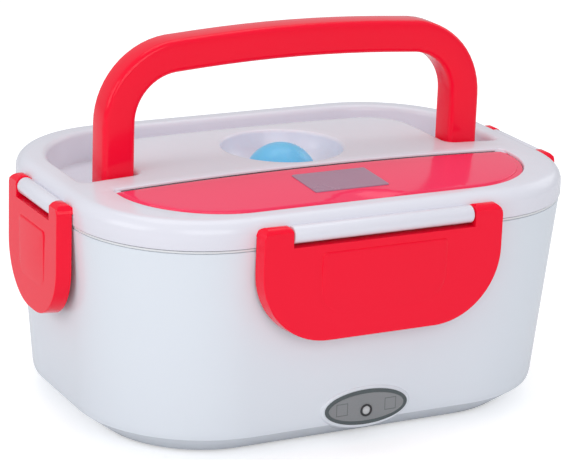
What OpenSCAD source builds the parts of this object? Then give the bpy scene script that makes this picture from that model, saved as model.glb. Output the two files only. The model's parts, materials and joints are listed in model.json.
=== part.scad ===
// Electric lunch box: a heated base with a lift-out food tray, and a lid with a folding
// handle, a spoon compartment and a steam vent, held down by four snap clips.
// The origin is the middle of the footprint on the table, Z is up and the lamp faces -Y.

/* [Outline] */
// Length of the lid along X
lid_l = 220; // [214:1:230]
// Width of the lid along Y
lid_w = 158; // [152:1:166]
// Corner radius of the lid seen from above
lid_r = 53; // [50:1:60]
// How much shorter than the lid the body is where the wall meets the lower band
foot_short = 12; // [6:1:20]
// How much narrower than the lid the body is where the wall meets the lower band
foot_narrow = 10; // [8:1:16]
// Corner radius of the body at the lower band
base_r = 54; // [50:1:58]

/* [Body] */
// Height of the body's rim above the table
rim_z = 90.4; // [86:0.2:96]
// Height of the crease between the wall and the lower band
crease_z = 10; // [9:0.5:12]
// How far the lower band turns in under the body
band_inset = 13; // [10:0.5:15]
// Thickness of the body wall
wall = 2.4; // [1.8:0.1:2.8]
// Width of the turned-in flange that carries the base cover
base_flange = 5; // [4:0.5:7]
// How far the feet stand out below the base
foot_proud = 1; // [0.6:0.1:1.4]

/* [Lamp plate] */
// Length of the oval plate
plate_l = 38; // [32:1:44]
// Height of the oval plate
plate_h = 15; // [12:0.5:17]
// Height of the middle of the oval plate above the table
plate_z = 16.5; // [16:0.5:19]
// Outer diameter of the lamp lens
lens_d = 4.4; // [3:0.1:5]

/* [Lid] */
// Height of the lid's edge above the seam
lid_edge = 11.5; // [10.5:0.5:14]
// Extra height of the crowned middle of the lid
crown = 3; // [1.5:0.1:4]
// Rounding of the lid's upper edge
lid_round = 6; // [4:0.5:7]
// Thickness of the lid's skin
lid_wall = 2.2; // [1.9:0.1:2.4]
// Thickness of the tubs moulded under the lid
tub_wall = 1.4; // [1.2:0.1:2]

/* [Handle] */
// Overall width of the handle across its legs
handle_w = 176.8; // [168:0.4:180]
// Height of the handle above its pivot
handle_h = 64.4; // [58:0.4:66]
// Width of the legs and of the grip
grip = 14.2; // [12:0.2:16]
// Thickness of the handle from front to back
handle_t = 13.6; // [12:0.2:14]
// Outer radius of the handle's upper corners
handle_r = 35; // [26:1:38]
// How far the grip arches up towards its middle
handle_arch = 2.2; // [0:0.2:3]
// Diameter of the pivot stubs
pivot_d = 5; // [4:0.2:6]

/* [Handle channel] */
// Width of the free strip outside each leg
channel_side = 9.6; // [6:0.2:11]
// Width of the free strip behind the folded grip
channel_back = 1.7; // [1:0.1:3]
// Width of the finger strip in front of the folded grip
channel_finger = 6; // [4:0.5:8]
// Gap between the handle and the channel where they nearly touch
channel_gap = 1; // [0.5:0.1:1.5]

/* [Spoon compartment] */
// Length of the spoon cover along X
cover_l = 182; // [172:1:186]
// Width of the spoon cover along Y
cover_w = 45; // [42:0.5:46]
// Distance from the lid's front edge to the cover
cover_in = 10; // [8.5:0.5:11]
// Radius of the cover's front corners
cover_r = 40; // [32:1:41]
// Thickness of the cover at its edge
cover_t = 2; // [1.6:0.1:2.2]
// Length of the bare label plate
label_l = 34; // [28:1:40]
// Width of the bare label plate
label_w = 22; // [16:1:23]
// Half width of the finger scoop where it meets the cover's front edge
scoop_half = 18.5; // [14:0.5:22]

/* [Vent] */
// Diameter of the vent bowl at its rim
bowl_d = 53; // [46:1:54]
// Distance of the vent's middle behind the lid's middle
vent_y = 7.5; // [7:0.5:10]
// Radius of the silicone dome
dome_r = 16; // [13:0.5:17]
// Diameter of the stem under the dome
stem_d = 7.6; // [6:0.2:9]

/* [Clips] */
// Overall width of the front and back clips
clip_w = 108; // [96:1:114]
// Overall width of the left and right clips
side_clip_w = 53; // [49:1:54]
// Width of each ear on the front and back clips
ear_w = 12.8; // [10:0.2:15]
// Width of each ear on the left and right clips
side_ear_w = 8.6; // [7:0.2:10]
// Distance from the hinge axis down to the lower edge of the front and back clips
clip_drop = 44.6; // [38:0.2:48]
// Distance from the hinge axis down to the lower edge of the left and right clips
side_clip_drop = 47.4; // [40:0.2:49]
// Radius of the lower corners of the front and back clips
clip_low_r = 30; // [20:1:34]
// Radius of the lower corners of the left and right clips
side_clip_low_r = 24; // [16:1:24]
// Diameter of the hinge rolls on the lid
roll_d = 7.2; // [6.4:0.1:7.6]
// Diameter of the stubs on the clips' ears
stub_d = 4; // [3:0.1:4.4]
// Thickness of the clips' skin
clip_wall = 2.2; // [1.6:0.1:2.6]

/* [Heated well] */
// Height of the well's floor above the table
well_floor = 22; // [21:0.5:26]
// Thickness of the well's wall
well_wall = 1.8; // [1.4:0.1:2.2]
// Diameter of the heat plate
heat_d = 84; // [70:1:92]
// Thickness of the heat plate
heat_t = 2; // [1.5:0.1:3]
// Diameter of the base screws' shanks
screw_d = 3; // [2.5:0.1:3.5]

/* [Food tray] */
// Thickness of the tray's wall
tray_wall = 1.4; // [1:0.1:2]
// Thickness of the tray's divider
divider_t = 1.6; // [1.2:0.1:2.4]
// Distance of the divider from the tray's middle
divider_x = 22; // [14:1:30]
// Height of the side dish box
dish_h = 42; // [34:1:46]

/* [Fits] */
// Gap between pieces that lift in and out of each other
lift_gap = 0.4; // [0.3:0.05:0.6]
// Gap all round a piece that is fixed in a pocket
fixed_gap = 0.15; // [0.1:0.05:0.25]
// Running clearance round a hinge stub, on the radius
pin_gap = 0.06; // [0.03:0.01:0.1]
// Height of the light gap under the lid's edge
seam_gap = 0.3; // [0.2:0.1:0.6]

/* [Hidden] */
$fn = 48;

// the body's foot
base_l = lid_l - foot_short;
base_w = lid_w - foot_narrow;

// heights, from the table up
shell_z = foot_proud;
hook_t = 0.8;
lid_z = rim_z + hook_t + seam_gap;
lid_top = lid_z + lid_edge;
pivot_z = lid_top + 0.4 - handle_t / 2;
channel_z = pivot_z - handle_t / 2 - lift_gap;
tub_z = channel_z - tub_wall;
liner_t = 1.6;
liner_z = tub_z - liner_t;
tray_rim_t = 1.5;
seal_gap = 0.3;
seat_gap = 0.1;
ledge_z = liner_z - seal_gap - tray_rim_t - seat_gap - 0.5;
roll_z = lid_z + 4.9;

// places in plan
cover_y0 = -lid_w / 2 + cover_in;
cover_y1 = cover_y0 + cover_w;
hinge_in = 3.8;
hinge_y = cover_y1 - hinge_in;
hinge_z = crown_z(cover_l / 2, hinge_y) - 3.1;
rear_r = 2;
rear_gap = 0.75;
cover_sink = 0.25;
channel_out = handle_w / 2 + channel_side;
channel_rear = handle_h + channel_back;
channel_in = handle_w / 2 - grip - channel_gap;
channel_front = handle_t / 2 + channel_gap;
inner_y = handle_h - grip - channel_finger;

// clip hinges, measured outwards from the lid's side
axis_out = 2.9;
ear_r = 3.9;
clip_proud = 7.2;
notch_z = roll_z - roll_d / 2 - 0.9;
stub_l = 5.5;
keeper_z = roll_z - 14.4;

// rounded outlines
function arc(c, r, a0, a1, k) = [for (i = [0:k])
    c + r * [cos(a0 + (a1 - a0) * i / k), sin(a0 + (a1 - a0) * i / k)]];
function between(a, b, m) = m < 1 ? [] : [for (i = [1:m]) a + (b - a) * i / (m + 1)];
function joined(parts, m) = [for (i = [0:len(parts) - 1]) each concat(parts[i],
    between(parts[i][len(parts[i]) - 1], parts[(i + 1) % len(parts)][0], m))];
function rounded(hx, hy, r, k = 12, m = 0) = joined([
    arc([hx - r, hy - r], r, 0, 90, k), arc([r - hx, hy - r], r, 90, 180, k),
    arc([r - hx, r - hy], r, 180, 270, k), arc([hx - r, r - hy], r, 270, 360, k)], m);
function oval(hx, hy, k = 48) = [for (i = [0:k - 1]) [hx * cos(360 * i / k), hy * sin(360 * i / k)]];
function d_shape(d, back = 0, k = 10, m = 5) = let (hx = cover_l / 2 + d, y0 = cover_y0 - d,
    y1 = cover_y1 + d + back, r = max(0.6, rear_r + d))
    joined([
    arc([cover_r + d - hx, y0 + cover_r + d], cover_r + d, 180, 270, k),
    arc([hx - cover_r - d, y0 + cover_r + d], cover_r + d, 270, 360, k),
    arc([hx - r, y1 - r], r, 0, 90, 3), arc([r - hx, y1 - r], r, 90, 180, 3)], m);

function unit(v) = v / norm(v);
function flat(list) = [for (a = list) each a];
function at_z(outline, z) = [for (p = outline) [p.x, p.y, z]];
// an outline moved inwards by d along its own normals
function inset(p, d) = let (n = len(p)) [for (i = [0:n - 1])
    let (u = unit(p[i] - p[(i + n - 1) % n]), v = unit(p[(i + 1) % n] - p[i]), t = unit(u + v))
    p[i] + [-t.y, t.x] * d / sqrt((1 + u * v) / 2)];
// a quadratic bend from a to c, drawn towards b
function bend(a, b, c, k = 4) = [for (i = [0:k]) let (s = i / k)
    (1 - s) * (1 - s) * a + 2 * s * (1 - s) * b + s * s * c];
// height of the lid's crowned surface
function crown_z(x, y) = lid_top + crown * max(0, 1 - pow(x / (lid_l / 2 - lid_round), 2))
    * max(0, 1 - pow(y / (lid_w / 2 - lid_round), 2));
function on_crown(outline, dz) = [for (p = outline) [p.x, p.y, crown_z(p.x, p.y) + dz]];
function shrunk(outline, c, s) = [for (p = outline) c + s * (p - c)];

// the body's outline at height z, moved inwards by d
function mix(a, b, t) = a + (b - a) * t;
rim_back = 0.4;
function rise(z) = (z - crease_z) / (rim_z - crease_z);
function body_half_l(z) = mix(base_l / 2, lid_l / 2 - rim_back, rise(z));
function body_half_w(z) = mix(base_w / 2, lid_w / 2 - rim_back, rise(z));
function body_r(z) = mix(base_r, lid_r, rise(z));
function body_ring(z, d) = at_z(rounded(body_half_l(z) - d, body_half_w(z) - d, body_r(z) - d), z);
// the lid's outline moved inwards by d
function lid_ring(d, z, m = 0) = at_z(rounded(lid_l / 2 - d, lid_w / 2 - d, lid_r - d, 12, m), z);

// a solid through a stack of rings with the same number of points
module loft(rings, low = undef, high = undef, loop = false) {
    n = len(rings[0]);
    m = len(rings);
    wrap = loop ? m : m - 1;
    sides = [for (j = [0:wrap - 1]) for (i = [0:n - 1])
        let (a = j * n + i, b = j * n + (i + 1) % n, c = ((j + 1) % m) * n + i,
            d = ((j + 1) % m) * n + (i + 1) % n)
        each [[a, c, d], [a, d, b]]];
    floor = loop ? [] : is_undef(low) ? [[for (i = [0:n - 1]) i]]
        : [for (i = [0:n - 1]) [i, (i + 1) % n, m * n]];
    roof = loop ? [] : is_undef(high) ? [[for (i = [n - 1:-1:0]) (m - 1) * n + i]]
        : [for (i = [0:n - 1]) [(m - 1) * n + (i + 1) % n, (m - 1) * n + i, m * n + 1]];
    ends = [is_undef(low) ? [0, 0, 0] : low, is_undef(high) ? [0, 0, 0] : high];
    points = is_undef(low) && is_undef(high) ? flat(rings) : concat(flat(rings), ends);
    polyhedron(points, concat(sides, floor, roof), convexity = 8);
}

// a plate of thickness h whose upper edge, and lower edge if asked, is rounded by r
module soft_plate(outline, h, r, both = false, k = 3) {
    lower = both ? [for (i = [0:k]) at_z(inset(outline, r * (1 - sin(90 * i / k))), r * (1 - cos(90 * i / k)))]
        : [at_z(outline, 0)];
    upper = [for (i = [0:k]) at_z(inset(outline, r * (1 - cos(90 * i / k))), h - r + r * sin(90 * i / k))];
    loft(concat(lower, upper));
}

module mirrored(axis) {
    children();
    mirror(axis) children();
}

module four_ways(x, y) {
    for (sx = [-1, 1], sy = [-1, 1]) translate([sx * x, sy * y, 0]) children();
}

// Body wall: one tapering moulding, turned in below the crease, open at top and bottom
boss_y = body_half_w(plate_z) + 1;
plate_t = 1.2;
inlet_z = 18;
inlet_l = 22;
inlet_h = 13;
base_hx = base_l / 2 - band_inset;
base_hy = base_w / 2 - band_inset;
base_corner = base_r - band_inset;

module outer_shell() {
    turn = bend([0, crease_z + 7], [0, crease_z], [band_inset * 0.35, mix(crease_z, shell_z, 0.35)]);
    outside = concat(
        [at_z(rounded(base_hx - base_flange, base_hy - base_flange, base_corner - base_flange), shell_z)],
        [at_z(rounded(base_hx, base_hy, base_corner), shell_z)],
        [for (i = [len(turn) - 1:-1:0]) body_ring(turn[i].y, turn[i].x)],
        [body_ring(rim_z, 0)]);
    inside = concat(
        [body_ring(rim_z, wall), body_ring(crease_z + 7, wall)],
        [body_ring(crease_z + 1, wall + 1.2), at_z(rounded(base_hx, base_hy, base_corner), shell_z + 2)],
        [at_z(rounded(base_hx - base_flange, base_hy - base_flange, base_corner - base_flange), shell_z + 2)]);
    color("whitesmoke") difference() {
        union() {
            loft(concat(outside, inside), loop = true);
            lamp_boss();
            keepers();
        }
        translate([0, -boss_y, plate_z]) rotate([90, 0, 0])
            translate([0, 0, -plate_t + 0.3]) linear_extrude(plate_t)
            polygon(oval(plate_l / 2 + fixed_gap, plate_h / 2 + fixed_gap));
        translate([0, -boss_y - 1, plate_z - 1.5]) rotate([-90, 0, 0])
            cylinder(d = lens_d + 2 * fixed_gap, h = 20);
        translate([0, body_half_w(inlet_z) - 12, inlet_z]) rotate([-90, 0, 0])
            linear_extrude(20) polygon(rounded(inlet_l / 2 + fixed_gap, inlet_h / 2 + fixed_gap, 4, 4, 0));
    }
}

// Boss that brings the oval plate clear of the turned-in band
module lamp_boss() {
    difference() {
        hull() {
            translate([0, -boss_y, plate_z]) rotate([90, 0, 0])
                linear_extrude(0.01) polygon(oval(plate_l / 2 + 1.6, plate_h / 2 + 1.6, 40));
            translate([0, -boss_y + 8, plate_z - 0.6]) rotate([90, 0, 0])
                linear_extrude(0.01) polygon(oval(plate_l / 2 + 5, plate_h / 2 + 4.6, 40));
        }
        translate([-plate_l, -boss_y + 3, crease_z - 1]) cube([2 * plate_l, 20, 30]);
    }
}

// Ledges on the wall that the clips snap over, as far out as the lid's side and a little more
keeper_over = 0.1;
keeper_share = 0.55;

module keepers() {
    for (turn = [0, 180]) ledge(clip_w * keeper_share, lid_w / 2, body_half_w(keeper_z), turn);
    for (turn = [90, 270]) ledge(side_clip_w * keeper_share, lid_l / 2, body_half_l(keeper_z), turn);
}

module ledge(length, lid_half, half, turn) {
    rotate([0, 0, turn]) translate([-length / 2, 0, keeper_z]) rotate([90, 0, 90]) linear_extrude(length)
        polygon([[wall / 2 - half, 0], [-lid_half - keeper_over, 0], [-lid_half - keeper_over, 1.2],
        [wall / 2 - half, 4.4]]);
}

// Closing plate under the body, with pockets for feet and screws
foot_x = base_hx - base_flange - 16;
foot_y = base_hy - base_flange - 16;
screw_x = 52;
screw_y = base_hy - base_flange - 12;
foot_d = 12;
head_d = 5.8;
cover_plate_t = 2;

module base_cover() {
    color("gainsboro") difference() {
        union() {
            translate([0, 0, shell_z]) linear_extrude(cover_plate_t + 1.6)
                polygon(rounded(base_hx - base_flange - lift_gap, base_hy - base_flange - lift_gap,
                base_corner - base_flange - lift_gap, 8, 0));
            translate([0, 0, shell_z + cover_plate_t]) linear_extrude(1.6)
                polygon(rounded(base_hx - 2, base_hy - 2, base_corner - 2, 8, 0));
        }
        four_ways(foot_x, foot_y) translate([0, 0, shell_z - 1]) cylinder(d = foot_d + 2 * fixed_gap, h = 2);
        four_ways(screw_x, screw_y) {
            translate([0, 0, shell_z - 1]) cylinder(d = head_d + 0.8, h = 2.8);
            cylinder(d = screw_d + 0.4, h = 20);
        }
        for (i = [-4:4]) translate([i * 8, 0, 0]) linear_extrude(20)
            polygon(rounded(1.2, 14, 1.1, 3, 0));
    }
}

module base_screws() {
    color("silver") four_ways(screw_x, screw_y) translate([0, 0, shell_z + 0.2]) difference() {
        union() {
            cylinder(d = head_d, h = 1.6);
            cylinder(d = screw_d, h = 12);
        }
        translate([0, 0, -0.1]) linear_extrude(1) square([3, 0.8], center = true);
        translate([0, 0, -0.1]) linear_extrude(1) square([0.8, 3], center = true);
    }
}

module rubber_feet() {
    color("dimgray") four_ways(foot_x, foot_y) rotate_extrude()
        polygon([[0, 0], [foot_d / 2 - 0.5, 0], [foot_d / 2, 0.5], [foot_d / 2, foot_proud + 1],
        [0, foot_proud + 1]]);
}

// Inner housing: a heated tub whose rim hooks over the body wall
well_in = 15.5;
well_hx = lid_l / 2 - well_in;
well_hy = lid_w / 2 - well_in;
well_r = lid_r - well_in;
rim_skin = 2;
floor_in_l = 13.5;
floor_in_w = 17.5;
floor_in_r = 16.5;
floor_hx = base_l / 2 - floor_in_l;
floor_hy = base_w / 2 - floor_in_w;
floor_r = base_r - floor_in_r;
under_z = well_floor - well_wall;

module heating_well() {
    inner = rounded(well_hx, well_hy, well_r);
    floor_ring = rounded(floor_hx, floor_hy, floor_r);
    color("white") difference() {
        union() {
            loft(concat(
                [at_z(inset(floor_ring, 6 - well_wall), under_z)],
                [at_z(inset(floor_ring, -well_wall), under_z + 5)],
                [at_z(inset(inner, -well_wall), ledge_z - 2), body_ring(ledge_z - 2, wall + fixed_gap)],
                [body_ring(rim_z, wall + fixed_gap), lid_ring(0.6, rim_z), lid_ring(0.6, rim_z + hook_t)],
                [body_ring(rim_z + hook_t, wall + fixed_gap + rim_skin)],
                [body_ring(ledge_z, wall + fixed_gap + rim_skin)],
                [at_z(inner, ledge_z), at_z(floor_ring, well_floor + 5)],
                [at_z(inset(floor_ring, 1.6), well_floor + 1.4)],
                [at_z(inset(floor_ring, 5), well_floor)]));
            four_ways(screw_x, screw_y) translate([0, 0, shell_z + cover_plate_t + 1.6 + 0.2])
                cylinder(d = 8, h = under_z - shell_z - cover_plate_t - 1.6);
        }
        four_ways(screw_x, screw_y) cylinder(d = screw_d + 2 * pin_gap, h = under_z - 1);
    }
}

// Heater stack, from the well's floor down
heater_t = 5;
clamp_t = 1;
heat_z = under_z - heat_t;
heater_z = heat_z - heater_t;

module heat_plate() {
    color("silver") difference() {
        translate([0, 0, heat_z]) cylinder(d = heat_d, h = heat_t, $fn = 96);
        for (side = [-1, 1]) translate([side * 27, 0, heat_z - 1]) cylinder(d = 3, h = heat_t + 2);
    }
}

module ptc_heater() {
    color("gray") translate([0, 0, heater_z]) {
        linear_extrude(heater_t) polygon(rounded(20, 12, 1.5, 4, 0));
        for (side = [-1, 1]) translate([-24, side * 6, heater_t / 2]) rotate([0, 90, 0]) cylinder(d = 2, h = 5);
    }
}

module heater_clamp() {
    color("lightgray") difference() {
        rotate([90, 0, 0]) translate([0, 0, -5]) linear_extrude(10)
            polygon([[-32, heat_z], [-32, heat_z - clamp_t], [-23, heat_z - clamp_t], [-21, heater_z - clamp_t],
            [21, heater_z - clamp_t], [23, heat_z - clamp_t], [32, heat_z - clamp_t], [32, heat_z],
            [22.2, heat_z], [20.4, heater_z], [-20.4, heater_z], [-22.2, heat_z]]);
        for (side = [-1, 1]) translate([side * 27, 0, 0]) cylinder(d = 3, h = 30);
    }
}

module thermostat() {
    color("black") translate([0, 27, heat_z]) mirror([0, 0, 1]) {
        cylinder(d = 16, h = 1.2);
        cylinder(d = 13, h = 7);
        for (side = [-1, 1]) translate([side * 4 - 0.4, -3, 6]) cube([0.8, 6, 4]);
    }
}

module thermal_fuse() {
    color("tan") {
        translate([-9, -26, heat_z - 2.1]) rotate([0, 90, 0]) cylinder(d = 4, h = 18);
        translate([-3, -31, heat_z - 5]) difference() {
            cube([6, 10, 5]);
            translate([-1, 5, 2.9]) rotate([0, 90, 0]) cylinder(d = 3.9, h = 8);
            translate([-1, 2.8, 3]) cube([8, 4.4, 3]);
        }
    }
}

pad_hx = 46;
pad_hy = 34;

module insulation_pad() {
    color("wheat") translate([0, 0, shell_z + cover_plate_t + 1.6])
        linear_extrude(2) difference() {
            polygon(rounded(pad_hx, pad_hy, 8, 6, 0));
            for (side = [-1, 1]) translate([side * (pad_hx - 10), 0]) circle(d = 5);
        }
}

// Power inlet at the back: figure-eight socket with two pins
inlet_y = body_half_w(inlet_z) + 0.3;
inlet_depth = 11;
inlet_back = 13.5;
pin_pitch = 8.6;
pin_d = 2.4;

module power_inlet() {
    color("dimgray") translate([0, inlet_y, inlet_z]) rotate([-90, 0, 0]) difference() {
        union() {
            translate([0, 0, -6]) linear_extrude(6) polygon(rounded(inlet_l / 2, inlet_h / 2, 3.8, 4, 0));
            translate([0, 0, -inlet_back]) linear_extrude(inlet_back - wall - 2.6)
                square([inlet_l + 5, inlet_h + 1], center = true);
        }
        translate([0, 0, -inlet_depth]) linear_extrude(inlet_depth + 1)
            for (side = [-1, 1]) {
                translate([side * pin_pitch / 2 * 0.82, 0]) circle(d = 8.4);
                translate([side * 2, 0]) square([4, 6.4], center = true);
            }
        for (side = [-1, 1]) translate([side * pin_pitch / 2, 0, -20])
            cylinder(d = pin_d + 2 * pin_gap, h = 20);
    }
}

module inlet_pins() {
    color("goldenrod") for (side = [-1, 1]) translate([side * pin_pitch / 2, inlet_y - 17, inlet_z])
        rotate([-90, 0, 0]) {
            cylinder(d = pin_d, h = 14);
            translate([0, 0, 14]) cylinder(d1 = pin_d, d2 = pin_d - 1, h = 1);
        }
}

// Oval lamp plate, its lens and the diode behind
module lamp_plate() {
    color("gray") translate([0, -boss_y, plate_z]) rotate([90, 0, 0]) translate([0, 0, -plate_t + 0.3])
        difference() {
            linear_extrude(plate_t + 0.3) polygon(oval(plate_l / 2, plate_h / 2));
            translate([0, 0, plate_t]) linear_extrude(1) polygon(oval(plate_l / 2 - 1.8, plate_h / 2 - 1.5));
            translate([0, -1.5, -1]) cylinder(d = lens_d + 2 * fixed_gap, h = 5);
        }
}

module lamp_lens() {
    color("white") translate([0, -boss_y + 3.5, plate_z - 1.5]) rotate([90, 0, 0]) rotate_extrude()
        polygon([[0, 0], [lens_d / 2, 0], [lens_d / 2, 4.1], [lens_d / 2 - 0.5, 4.3], [0, 4.5]]);
}

module lamp_diode() {
    color("ivory") translate([0, -boss_y + 3.5, plate_z - 1.5]) rotate([-90, 0, 0]) {
        cylinder(d = 3.4, h = 4);
        translate([0, 0, 4]) cylinder(d = 4.2, h = 1);
    }
}

// Lift-out tray: a drafted tub with a rim that rests on the well's ledge
tray_z = well_floor + 0.4;
tray_side = lift_gap + 0.4;
tray_rim_w = 5;

module food_tray() {
    inner = rounded(well_hx, well_hy, well_r, 9);
    low = rounded(floor_hx, floor_hy, floor_r, 9);
    outside = [at_z(inset(low, 6), tray_z), at_z(inset(low, 2.2), tray_z + 1.4),
        at_z(inset(low, tray_side), tray_z + 5),
        at_z(inset(inner, tray_side), ledge_z + seat_gap)];
    rim_top = ledge_z + seat_gap + tray_rim_t;
    rest = [at_z(inset(inner, -tray_rim_w), ledge_z + seat_gap), at_z(inset(inner, -tray_rim_w), rim_top),
        at_z(inset(inner, tray_side + tray_wall), rim_top),
        at_z(inset(low, tray_side + tray_wall), tray_z + 5 + tray_wall),
        at_z(inset(low, 2.4 + tray_wall), tray_z + 1.4 + tray_wall), at_z(inset(low, 7), tray_z + tray_wall)];
    color("white") {
        loft(concat(outside, rest));
        intersection() {
            translate([divider_x - divider_t / 2, -lid_w / 2, tray_z + 0.5])
                cube([divider_t, lid_w, rim_top - tray_z - 10]);
            loft([outside[0], outside[1], outside[2], outside[3]]);
        }
    }
}

// Side dish box that stands in the smaller half of the tray, with a press-on lid
dish_gap = 3.4;
dish_end_gap = 4.1;
dish_side_gap = 11.3;
tray_half_l = floor_hx - tray_side - tray_wall;
tray_half_w = floor_hy - tray_side - tray_wall;
dish_hx = (tray_half_l - divider_x - divider_t / 2 - dish_gap - dish_end_gap) / 2;
dish_hy = tray_half_w - dish_side_gap;
dish_r = dish_hx - 6;
dish_draft = 2.5;
dish_x = divider_x + divider_t / 2 + dish_gap + dish_hx;
dish_z = tray_z + tray_wall;
dish_wall = 1.4;

module side_dish_box() {
    top = rounded(dish_hx, dish_hy, dish_r, 7);
    low = rounded(dish_hx - dish_draft, dish_hy - dish_draft, dish_r - dish_draft, 7);
    color("white") translate([dish_x, 0, 0]) loft([at_z(inset(low, 4), dish_z), at_z(low, dish_z + 3),
        at_z(top, dish_z + dish_h), at_z(inset(top, dish_wall), dish_z + dish_h),
        at_z(inset(low, dish_wall), dish_z + 3.6), at_z(inset(low, 4.6), dish_z + dish_wall)]);
}

module side_dish_lid() {
    skirt = 3;
    top = rounded(dish_hx, dish_hy, dish_r, 7);
    color("lightblue") translate([dish_x, 0, dish_z + dish_h]) {
        loft([at_z(inset(top, dish_wall + 1.5), -0.2), at_z(inset(top, dish_wall + 1.5), -skirt),
            at_z(inset(top, dish_wall + 0.3), -skirt), at_z(inset(top, dish_wall + 0.3), 0),
            at_z(inset(top, -0.6), 0), at_z(inset(top, -0.6), 1), at_z(inset(top, 0.4), 1.8),
            at_z(inset(top, 6), 1.8), at_z(inset(top, 7), 1)]);
    }
}

// Channel that takes the folded handle, seen from above and widened by d
channel_corner = 43;
channel_inner_r = 19;
function channel_shape(d) = let (xo = channel_out + d, xi = channel_in - d, y1 = channel_rear + d,
    y0 = -channel_front - d, yi = inner_y - d, ro = channel_corner + d, ri = channel_inner_r - d, rf = 2.5)
    concat(arc([xo - rf, y0 + rf], rf, 270, 360, 3), arc([xo - ro, y1 - ro], ro, 0, 90, 10),
    arc([ro - xo, y1 - ro], ro, 90, 180, 10), arc([rf - xo, y0 + rf], rf, 180, 270, 3), [[-xi, y0]],
    arc([ri - xi, yi - ri], ri, 180, 90, 6), arc([xi - ri, yi - ri], ri, 90, 0, 6), [[xi, y0]]);

// Vent bowl
vent_rim = crown_z(0, vent_y);
bowl_z = vent_rim - 11.2;
bowl_wall = bend([bowl_d / 2 - 9.5, 0], [bowl_d / 2 - 1, 0], [bowl_d / 2 - 0.8, 9.6], 6);
stem_gap = 0.25;

// Scoop in the spoon cover: a shallow ball whose footprint meets the front edge at scoop_half
scoop_deep = 8.2;
scoop_foot = (scoop_half * scoop_half + scoop_deep * scoop_deep) / (2 * scoop_deep);
scoop_sink = 5;
scoop_r = (scoop_foot * scoop_foot + scoop_sink * scoop_sink) / (2 * scoop_sink);
scoop_c = [0, cover_y0 + scoop_deep - scoop_foot, crown_z(0, cover_y0) - cover_sink + scoop_r - scoop_sink];
scoop_skin = 1.6;

// Distance from the lid's outline to what drops inside the body's rim, also at the corners
function diagonal(hx, hy, r) = (hx + hy - 2 * r) / sqrt(2) + r;
seal_low = liner_z - 0.5;
taper_in = max(lid_l / 2 - body_half_l(seal_low), lid_w / 2 - body_half_w(seal_low),
    diagonal(lid_l / 2, lid_w / 2, lid_r)
    - diagonal(body_half_l(seal_low), body_half_w(seal_low), body_r(seal_low)));
rim_in = taper_in + wall + fixed_gap + rim_skin + lift_gap;
seal_t = 1.6;
seat_sink = cover_sink + cover_t + 0.3;
cover_pin_d = 2.5;
groove_mid = 6.7;
groove_end = 5.3;
groove_l = cover_l / 2 + lift_gap;
pivot_stub = 6;

module lid_shell() {
    fillet = [for (a = [22.5, 45, 67.5])
        lid_ring(lid_round * (1 - cos(a)), lid_top - lid_round + lid_round * sin(a), 3)];
    edge = rounded(lid_l / 2 - lid_round, lid_w / 2 - lid_round, lid_r - lid_round, m = 3);
    under = rounded(lid_l / 2 - lid_round - 1, lid_w / 2 - lid_round - 1, lid_r - lid_round - 1, m = 3);
    color("whitesmoke") difference() {
        union() {
            loft(concat(
                [on_crown(shrunk(under, [0, 0], 0.4), -lid_wall), on_crown(under, -lid_wall)],
                [lid_ring(lid_wall, lid_top - lid_round, 3), lid_ring(lid_wall, lid_z, 3)],
                [lid_ring(0.5, lid_z, 3)],
                [lid_ring(0, lid_z + 0.5, 3), lid_ring(0, lid_top - lid_round, 3)], fillet,
                [for (s = [1, 0.72, 0.45, 0.2]) on_crown(shrunk(edge, [0, 0], s), 0)]),
                low = [0, 0, crown_z(0, 0) - lid_wall], high = [0, 0, crown_z(0, 0)]);
            intersection() {
                lid_tubs();
                lid_core();
            }
            lid_rolls();
        }
        translate([0, 0, channel_z]) linear_extrude(40) polygon(channel_shape(0));
        vent_cut();
        spoon_cut();
        for (side = [0, 180]) rotate([0, 0, side])
            translate([channel_in - pivot_stub - 0.5, 0, pivot_z]) rotate([0, 90, 0])
            cylinder(r = pivot_d / 2 + pin_gap, h = pivot_stub + 2);
        ear_grooves();
        stub_bores();
    }
}

// The room under the lid's skin, down to the inner plate
module lid_core() {
    edge = rounded(lid_l / 2 - lid_round, lid_w / 2 - lid_round, lid_r - lid_round, 6);
    half = lid_wall / 2;
    loft([at_z(inset(edge, half - lid_round), tub_z), at_z(inset(edge, half - lid_round), lid_top - lid_round),
        on_crown(edge, -half), on_crown(shrunk(edge, [0, 0], 0.5), -half)],
        high = [0, 0, crown_z(0, 0) - half]);
}

module lid_tubs() {
    translate([0, 0, tub_z]) {
        linear_extrude(30) polygon(channel_shape(tub_wall));
        linear_extrude(30) polygon(d_shape(lift_gap + tub_wall, rear_gap));
        translate([0, vent_y, 0]) cylinder(d = stem_d + 2 * stem_gap + 2 * tub_wall, h = bowl_z - tub_z);
    }
    translate([0, vent_y, 0]) rotate_extrude($fn = 80) polygon(concat([[0, bowl_z - tub_wall]],
        [for (p = bowl_wall) [p.x + tub_wall, p.y + bowl_z - tub_wall]],
        [[bowl_d / 2 + 0.6, vent_rim + 5], [0, vent_rim + 5]]));
    mirrored([1, 0, 0]) {
        translate([0, hinge_y, hinge_z]) rotate([0, 90, 0])
            cylinder(r1 = groove_mid + 1.3, r2 = groove_end + 1.3, h = groove_l + 1);
        translate([groove_l, hinge_y, hinge_z]) rotate([0, 90, 0]) cylinder(r = 3.2, h = 5);
        translate([channel_in - pivot_stub - 2.5, 0, pivot_z]) rotate([0, 90, 0])
            cylinder(r = 5, h = pivot_stub + 2);
    }
}

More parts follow.
